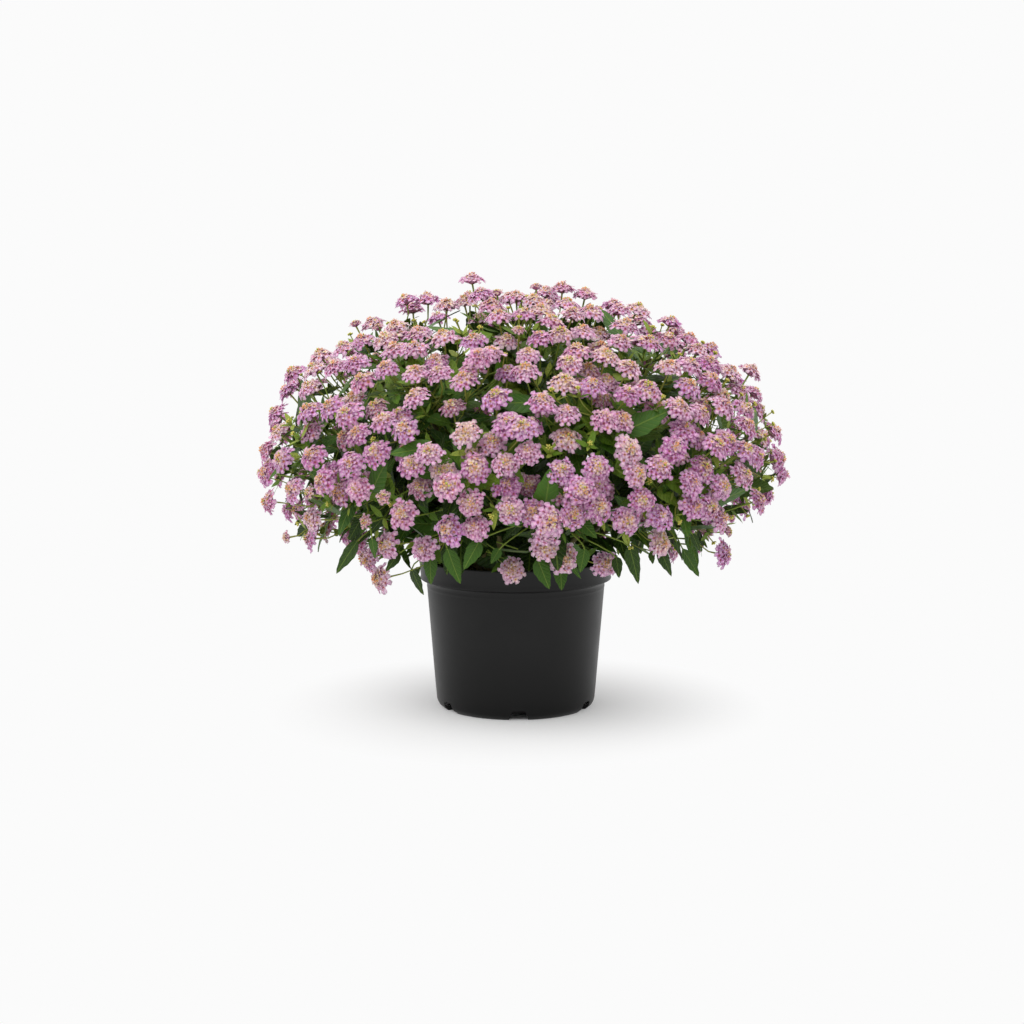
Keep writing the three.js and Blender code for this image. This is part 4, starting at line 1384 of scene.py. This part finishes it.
class Bush:
    """The plant in the making: where its stems and heads are, and each stem's flowers and greenery so far."""

    def __init__(self, rng):
        self.rng = rng
        self.courses = stem_courses()
        self.heads = all_heads()
        self.blooms = [new_shape() for _ in self.courses]
        self.greens = [new_shape() for _ in self.courses]
        self.bud = bud_shape()
        self.blade, self.plain_blade, self.leaflet = leaf_blade(4, 8), leaf_blade(2, 6), leaf_blade(2, 4)
        self.branch = rod_shape(6, BRANCH_STEPS, "stem")
        self.stalk = rod_shape(5, STALK_STEPS, "stalk")
        self.twig = rod_shape(3, TWIG_STEPS, "twig")

    def add_stalk(self, owner, path, radius, column, shape=None, side=None):
        """A rod along a path, with a radius at each share of its length, in the stalks' material."""
        shape = shape or self.stalk
        bm = self.greens[owner]
        start = len(bm.faces)
        spots = in_cell(shape.spots, column, STALK_ROW, GREEN_CELLS)
        set_down(bm, shape, bent(shape, path, radius, side), spots)
        bm.faces.ensure_lookup_table()
        for face in bm.faces[start:]:
            face.material_index = 1

    def add_petiole(self, owner, foot, base, along, back):
        """A leaf's thin stalk, from its foot on a stem to just past the base of a leaf that points along."""
        path = bezier(foot, foot + (base - foot) * 0.4, base - along * back, base + along * 1.5, TWIG_STEPS)
        self.add_stalk(owner, path, PETIOLE_RADIUS, GREEN_STALK, self.twig)

    def add_leaf(self, owner, base, tip, up, width, cells, shape=None, curl=None):
        """A leaf in one of the cells' greens, curled by chance where no curl is given."""
        shape = shape or self.blade
        row, column = divmod(int(self.rng.choice(cells)), GREEN_CELLS)
        curl = self.rng.uniform(0.04, 0.3) if curl is None else curl
        points = leaf_points(shape, base, tip, up, width, curl, self.rng.uniform(-0.5, 0.5))
        set_down(self.greens[owner], shape, points, in_cell(shape.spots, column, row, GREEN_CELLS))

    def add_new_leaf(self, owner, base, out, face, reach, width, cells):
        """A small leaf close under a head or a cluster that looks the way of its face."""
        tip, up = base + out * reach, unit(face - out * 0.3)
        self.add_leaf(owner, base, tip, up, reach * width, cells, self.leaflet)


STEM_PAIRS, FIRST_PAIR, PAIR_STEP, QUARTER_TURN = 7, 0.3, 0.1, 1.57
STEM_LEAF_REACH, STEM_LEAF_WIDTH = (32, 48), 0.56


def grow_stem(bush, k):
    """A stem with pairs of leaves up it, each pair square to the last."""
    course, rng = bush.courses[k], bush.rng
    path = [course.root - vec(0, 0, ROOT_DEPTH)]
    path += [curve_point(course, i / (BRANCH_STEPS - 1)) for i in range(BRANCH_STEPS)]
    radius = [STEM_ROOT_RADIUS] * 2 + [STEM_TIP_RADIUS * 0.8]
    bush.add_stalk(k, path, radius, WOODY_STALK, bush.branch, course.side)
    for i in range(STEM_PAIRS):
        t = FIRST_PAIR + PAIR_STEP * i
        foot, way = curve_point(course, t), curve_way(course, t)
        basis = frame_on(way, QUARTER_TURN * i + rng.uniform(-0.3, 0.3))
        for sign in (-1, 1):
            out = unit(basis[:, 0] * sign + way * 0.5 + vec(0, 0, 0.2))
            base = foot + out * 7
            reach = rng.uniform(*STEM_LEAF_REACH)
            tip = base + unit(out + vec(0, 0, -0.25)) * reach
            up = unit(way + vec(0, 0, 0.6))
            path = bezier(foot, foot + out * 2, foot + out * 4, base + out, TWIG_STEPS)
            bush.add_stalk(k, path, PETIOLE_RADIUS, GREEN_STALK, bush.twig)
            # Painted shade and light: the darkest greens in the shade, and on the higher pairs a bright one
            # among the choices.
            cells = SHADE_GREENS if in_shade(tip) else MIDDLING + SHADE_GREENS[:1] + BRIGHT[:1] * int(i > 3)
            bush.add_leaf(k, base, tip, up, reach * STEM_LEAF_WIDTH, cells)


# How the heads in full flower share out among the kinds.
FLOWERING, FLOWERING_SHARES = ("full", "loose", "dense"), (0.4, 0.35, 0.25)
# A head here looks up a little more than its plain solid and is a little larger.
FACE_LIFT, HEAD_GROWTH = 0.3, 1.015
HEAD_STALK_RADIUS = (0.95, 0.7, 0.6, 0.62, 1.0)
# The leaves on a head's stalk are smaller below this height, and some are missing there.
SPARSE_BELOW, PAIR_REACH, LOW_PAIR_REACH, LOW_PAIR_MISSING = 250, (20, 36), (16, 30), 0.4
NEW_LEAF_REACH, NEW_LEAF_WIDTH = (11, 20), 0.42
SHOOTS, SHOOT_REACH, SHOOT_LEAF_REACH, SHOOT_LEAF_WIDTH = 2, (14, 26), (7, 13), (2.6, 5)


def grow_head(bush, kits, head):
    """A flower head on its stalk, with what grows on the stalk."""
    rng = bush.rng
    owner = stem_of(head.skin, bush.courses)
    out_here = outward(head.skin)
    head.row = tint_of(head, rng)
    # Heads of the palest tint, which mostly stand in the light, get paler florets too: painted light.
    head.ripe = int(head.row == PALEST_ROW)
    kind = "young" if head.kind == "s" else str(rng.choice(FLOWERING, p=FLOWERING_SHARES))
    head.face = unit(head.face + vec(0, 0, FACE_LIFT))
    head.size *= HEAD_GROWTH
    points, spots = head_points(kits[kind], head, rng)
    set_down(bush.blooms[owner], kits[kind], points, spots)

    neck = neck_of(head)
    foot = foot_for(neck, head.face, bush.courses[owner], HEAD_STALK)
    pull = length(neck - foot) * 0.35
    way = unit(unit(neck - foot) + out_here * 0.2)
    path = bezier(foot, foot + way * pull, neck - head.face * pull, neck + head.face * 1.5, STALK_STEPS)
    bush.add_stalk(owner, path, HEAD_STALK_RADIUS, int(rng.choice((GREEN_STALK, YELLOW_STALK))))

    # Two leaves stand part of the way up the stalk.
    basis = frame_on(head.face, rng.uniform(0, ANY_TURN))
    shoot, fork, knot = path[1], path[2], path[3]
    sparse = head.at[2] < SPARSE_BELOW
    for sign in (-1, 1):
        if sparse and rng.random() < LOW_PAIR_MISSING:
            continue
        reach = rng.uniform(*(LOW_PAIR_REACH if sparse else PAIR_REACH))
        out = unit(basis[:, 0] * sign + out_here * rng.uniform(0.1, 0.55))
        base = fork + out * 4
        path = bezier(fork, fork + out, fork + out * 3, base + out, TWIG_STEPS)
        bush.add_stalk(owner, path, SPRIG_RADIUS, GREEN_STALK, bush.twig)
        up, width = unit(out_here - out * 0.2), reach * rng.uniform(0.48, 0.58)
        bush.add_leaf(owner, base, base + out * reach, up, width, greens_under(head))

    # Two new ones stand nearer the head, and thin side shoots with a leaflet each leave the stalk low down.
    # Painted shade: the new leaves of a head in the shade get duller greens.
    sprout = MIDDLING + BRIGHT[:1] if in_shade(head.at) else BRIGHT + NEW
    for sign in (-1, 1):
        reach = rng.uniform(*NEW_LEAF_REACH)
        out = unit(basis[:, 1] * sign + head.face * rng.uniform(0.2, 0.9))
        bush.add_new_leaf(owner, knot, out, head.face, reach, NEW_LEAF_WIDTH, sprout)
    for _ in range(SHOOTS):
        out = basis @ vec(rng.uniform(-1, 1), rng.uniform(-1, 1), 0.2)
        out = unit(out + out_here * rng.uniform(0.3, 1.2))
        end = shoot + out * rng.uniform(*SHOOT_REACH)
        path = bezier(shoot, shoot + out * 4, end - out * 6 - head.face, end, TWIG_STEPS)
        column = int(rng.choice((GREEN_STALK, YELLOW_STALK, PALE_STALK)))
        bush.add_stalk(owner, path, SHOOT_RADIUS, column, bush.twig)
        tip = end + unit(out + rng.uniform(-0.6, 0.6, 3)) * rng.uniform(*SHOOT_LEAF_REACH)
        bush.add_leaf(owner, end, tip, out_here, rng.uniform(*SHOOT_LEAF_WIDTH), sprout, bush.leaflet)


# The leaves in the shade stop this many degrees short of the lowest flowers.
INNER_LEAVES, INNER_RISE = 880, 16
# Their shares of the way from the dome's centre to its skin. Near the top they come closer to the skin.
INNER_DEPTH, INNER_EDGE, INNER_TOP_EDGE, INNER_TOP_FALL = 0.5, 0.75, 0.89, 50
INNER_STEM_PLACES = (0.3, 0.4, 0.5, 0.6, 0.7, 0.8, 0.9)
LONGEST_PETIOLE, LOWEST_INSIDE = 85, 145
INNER_REACH, INNER_WIDTH = (26, 40), (0.44, 0.58)


def fill_inside(bush):
    """Leaves in the shade inside the dome, each on a stalk from its stem."""
    rng = bush.rng
    made = 0
    while made < INNER_LEAVES:
        turn = rng.uniform(0, 360)
        fall = fall_to(rng.random(), LOWEST - INNER_RISE)
        skin = on_dome(turn, fall)
        share = rng.uniform(INNER_DEPTH, INNER_TOP_EDGE if fall < INNER_TOP_FALL else INNER_EDGE)
        place = CENTRE + (skin - CENTRE) * share
        owner = stem_of(skin, bush.courses)
        course = bush.courses[owner]
        feet = [curve_point(course, t) for t in INNER_STEM_PLACES]
        foot = min(feet, key=lambda foot: length(foot - place))
        run = place - foot
        if length(run) > LONGEST_PETIOLE or place[2] < LOWEST_INSIDE:
            continue
        out = unit(outward(skin) + rng.uniform(-0.5, 0.5, 3) + vec(0, 0, -0.15))
        along = unit(np.cross(out, rng.uniform(-1, 1, 3)) + unit(run) * 0.5 + vec(0, 0, -0.35))
        reach = rng.uniform(*INNER_REACH)
        base = place - along * reach * 0.4
        bush.add_petiole(owner, foot, base, along, 5)
        width, cells = reach * rng.uniform(*INNER_WIDTH), greens_inside(place[2])
        bush.add_leaf(owner, base, base + along * reach, out, width, cells, bush.plain_blade)
        made += 1


# Large dark leaves stand round the axis of the pot, this far out from it and up from a point on it. Their
# darkest greens are painted shade.
CORE_LEAVES, CORE_FOOT, CORE_OUT, CORE_UP = 70, vec(0, 0, 146), (12, 84), (8, 62)
CORE_REACH, CORE_WIDTH, CORE_CURL = (38, 54), 0.6, 0.1


def fill_core(bush):
    """Large leaves in the darkest greens, painted shade, round the middle of the plant, over the soil, close
    off the view through its foot.
    """
    rng = bush.rng
    for i in range(CORE_LEAVES):
        turn = i * GOLDEN_ANGLE
        out = vec(math.cos(turn), math.sin(turn), 0)
        at = CORE_FOOT + out * rng.uniform(*CORE_OUT) + vec(0, 0, rng.uniform(*CORE_UP))
        owner = min(range(STEMS), key=lambda k: length(curve_point(bush.courses[k], 0.25) - at))
        foot = curve_point(bush.courses[owner], 0.2)
        along = unit(np.cross(out, vec(0, 0, 1)) * rng.choice((-1, 1)) + vec(0, 0, rng.uniform(-0.2, 0.6)))
        reach = rng.uniform(*CORE_REACH)
        base = at - along * reach * 0.5
        tip, up = base + along * reach, unit(out + vec(0, 0, 0.25))
        bush.add_petiole(owner, foot, base, along, 4)
        bush.add_leaf(owner, base, tip, up, reach * CORE_WIDTH, SHADE_GREENS, bush.plain_blade, CORE_CURL)


# Leaves by the rim grow from these parts of the stems, and none hangs lower than this.
SKIRT_LEAVES, SKIRT_PLACES, SKIRT_LOWEST = 130, (0.1, 0.42), 146
SKIRT_REACH = (26, 42)


def fill_skirt(bush):
    """Leaves over the soil and round the pot's rim, hanging from the lowest parts of the stems."""
    rng = bush.rng
    for _ in range(SKIRT_LEAVES):
        owner = int(rng.integers(0, STEMS))
        course = bush.courses[owner]
        t = rng.uniform(*SKIRT_PLACES)
        foot, way = curve_point(course, t), curve_way(course, t)
        out = unit(unit(vec(way[0], way[1], 0)) + rng.uniform(-0.9, 0.9, 3) * vec(1, 1, 0.3))
        base = foot + out * rng.uniform(8, 24) + vec(0, 0, rng.uniform(-4, 14))
        reach = rng.uniform(*SKIRT_REACH)
        tip = base + unit(out + vec(0, 0, rng.uniform(-0.7, 0.5))) * reach
        if min(base[2], tip[2]) < SKIRT_LOWEST:
            continue
        up, width = unit(out * 0.5 + vec(0, 0, 1)), reach * rng.uniform(*INNER_WIDTH)
        bush.add_petiole(owner, foot, base, out, 3)
        # Painted shade: low round the rim the leaves get mostly the darkest greens.
        bush.add_leaf(owner, base, tip, up, width, SHADE_GREENS + SHADE_GREENS + MIDDLING, bush.plain_blade)


# Clusters of green buds: how many, how far down the dome, how deep or proud, and how clear of the heads.
BUD_CLUSTERS, BUD_LOWEST, BUD_LIFTS, BUD_CLEAR = 140, 138, (-12, 5), 12.5
CLUSTER_BUDS, CLUSTER_RADIUS, CLUSTER_DOME = 9, (1.5, 2.6), 1.3
CLUSTER_BUD_SIZE = np.array([0.8, 0.8, 1.0])
CLUSTER_STALK_RADIUS = (0.8, 0.6, 0.5, 0.6)
CLUSTER_LEAVES, CLUSTER_LEAF_REACH, CLUSTER_LEAF_WIDTH = 4, (8, 19), 0.4


def grow_cluster(bush, skin, at):
    """A cluster of green buds on its stalk, over two pairs of small leaves."""
    rng = bush.rng
    owner = stem_of(skin, bush.courses)
    face = unit(outward(skin) + rng.uniform(-0.3, 0.3, 3) + vec(0, 0, 0.3))
    foot = foot_for(at, face, bush.courses[owner], BUD_STALK)
    pull = length(at - foot) * 0.35
    path = bezier(foot, foot + unit(at - foot) * pull, at - face * pull, at, STALK_STEPS)
    bush.add_stalk(owner, path, CLUSTER_STALK_RADIUS, YELLOW_STALK)
    basis = frame_on(face, rng.uniform(0, ANY_TURN))
    wide = rng.uniform(*CLUSTER_RADIUS)
    cell = in_cell(bush.bud.spots, YOUNG_BUD_COLUMN, YOUNG_ROW, PETAL_CELLS)
    for i in range(CLUSTER_BUDS):
        out = wide * math.sqrt(i / (CLUSTER_BUDS - 1))
        spot = at + spoke(basis, i * GOLDEN_ANGLE) * out + face * (CLUSTER_DOME - 0.2 * out * out)
        way = unit(spot - at + face * 1.6)
        local = bush.bud.points * CLUSTER_BUD_SIZE * rng.uniform(0.8, 1.1)
        set_down(bush.blooms[owner], bush.bud, spot + local @ frame_on(way).T, cell)
    for i in range(CLUSTER_LEAVES):
        reach = rng.uniform(*CLUSTER_LEAF_REACH)
        out = unit(basis[:, i % 2] * (1 if i < 2 else -1) + face * rng.uniform(0.2, 0.9))
        bush.add_new_leaf(owner, path[4], out, face, reach, CLUSTER_LEAF_WIDTH, NEW + BRIGHT[2:])


def grow_clusters(bush):
    """The clusters stand between the heads and clear of each other."""
    rng = bush.rng
    places = [head.at for head in bush.heads]
    made = tries = 0
    while made < BUD_CLUSTERS and tries < TRIES:
        tries += 1
        turn = rng.uniform(0, 360)
        skin = on_dome(turn, fall_to(rng.random(), BUD_LOWEST))
        at = skin + outward(skin) * rng.uniform(*BUD_LIFTS)
        if nearest(at, places) < BUD_CLEAR:
            continue
        places.append(at)
        grow_cluster(bush, skin, at)
        made += 1


LARGE_STALK_RADIUS, LARGE_LEAF_CURL = (0.9, 0.7, 0.7), 0.12


def grow_large_leaf(bush, leaf):
    """One of the large leaves that are solids in the part."""
    owner = stem_of(leaf.skin, bush.courses)
    foot = foot_for(leaf.base, leaf.tip - leaf.base, bush.courses[owner], LEAF_STALK)
    along = unit(leaf.tip - leaf.base)
    bend = foot + (leaf.base - foot) * 0.4
    path = bezier(foot, bend, leaf.base - along * 5, leaf.base + along * 1.5, STALK_STEPS)
    bush.add_stalk(owner, path, LARGE_STALK_RADIUS, GREEN_STALK)
    # Painted shade: a leaf that hangs low gets darker greens.
    cells = SHADE_GREENS[1:2] + MIDDLING[:1] if leaf.tip[2] < HANGING_BELOW else MIDDLING + SHADE_GREENS[1:2]
    bush.add_leaf(owner, leaf.base, leaf.tip, leaf.up, leaf.width, cells, curl=LARGE_LEAF_CURL)


def make_plant(rng):
    bush = Bush(rng)
    limb, tube, core = floret_limb(), floret_tube(), core_shape()
    kits = {name: head_kit(limb, tube, bush.bud, core, name) for name in HEAD_KINDS}
    leaves = leaf_places(bush.heads, bush.courses)
    for k in range(STEMS):
        grow_stem(bush, k)
    for head in bush.heads:
        grow_head(bush, kits, head)
    fill_inside(bush)
    fill_core(bush)
    fill_skirt(bush)
    grow_clusters(bush)
    for leaf in leaves:
        grow_large_leaf(bush, leaf)

    petals, leafy, stalky = petal_material(), leaf_material(), stalk_material()
    for k in range(STEMS):
        node = f"leafy_stem_{k + 1:02d}"
        piece_of(bush.blooms[k], f"flower_heads_{k + 1:02d}", [petals], "petals", node)
        piece_of(bush.greens[k], f"leafy_stem_fine_{k + 1:02d}", [leafy, stalky], "foliage", node)


# ------------------------------------------------------------------ the studio

# The camera's lens and the width of its picture plane in millimetres, and how far it sees in metres.
LENS, FILM, SIGHT = 63.28, 36, 100
# The floor's radius, also in metres.
FLOOR_RADIUS, FLOOR_SIDES = 40, 96
# Each lamp's place, what it points at and its size in metres, and its power in watts.
LAMPS = {
    "key": ((-1.1, -1.5, 2.3), (0, 0, 0.25), (1.6, 1.2), 26),
    "top": ((0.4, 0.3, 2.6), (0, 0, 0.2), (1.8, 1.8), 16),
}


def make_camera():
    camera = bpy.data.cameras.new("camera")
    camera.lens, camera.sensor_width, camera.clip_end = LENS, FILM, SIGHT
    stand = bpy.data.objects.new("camera", camera)
    stand.location = EYE * METRE
    stand.rotation_euler = (rad(90 - PITCH), 0, 0)
    bpy.context.scene.collection.objects.link(stand)
    bpy.context.scene.camera = stand


def softbox(name, place, target, size, power):
    light = bpy.data.lights.new(name, "AREA")
    light.shape, light.size, light.size_y = "RECTANGLE", size[0], size[1]
    light.energy = power
    made = bpy.data.objects.new(name, light)
    made.location = place
    made.rotation_euler = (Vector(target) - Vector(place)).to_track_quat("-Z", "Y").to_euler()
    bpy.context.scene.collection.objects.link(made)


def make_studio():
    make_camera()
    bm = bmesh.new()
    bmesh.ops.create_circle(bm, cap_ends=True, segments=FLOOR_SIDES, radius=FLOOR_RADIUS)
    floor = object_of(bm, "floor", [floor_material()])

    world = bpy.data.worlds.new("studio")
    world.use_nodes = True
    sky = world.node_tree.nodes["Background"].inputs
    sky["Color"].default_value = grey(1)
    sky["Strength"].default_value = ROOM
    bpy.context.scene.world = world
    for name, lamp in LAMPS.items():
        softbox(name, *lamp)
    bpy.context.scene.view_settings.view_transform = "Standard"


make_studio()
make_pot(pot_material())
make_soil(soil_material(), np.random.default_rng(3))
make_plant(np.random.default_rng(7))
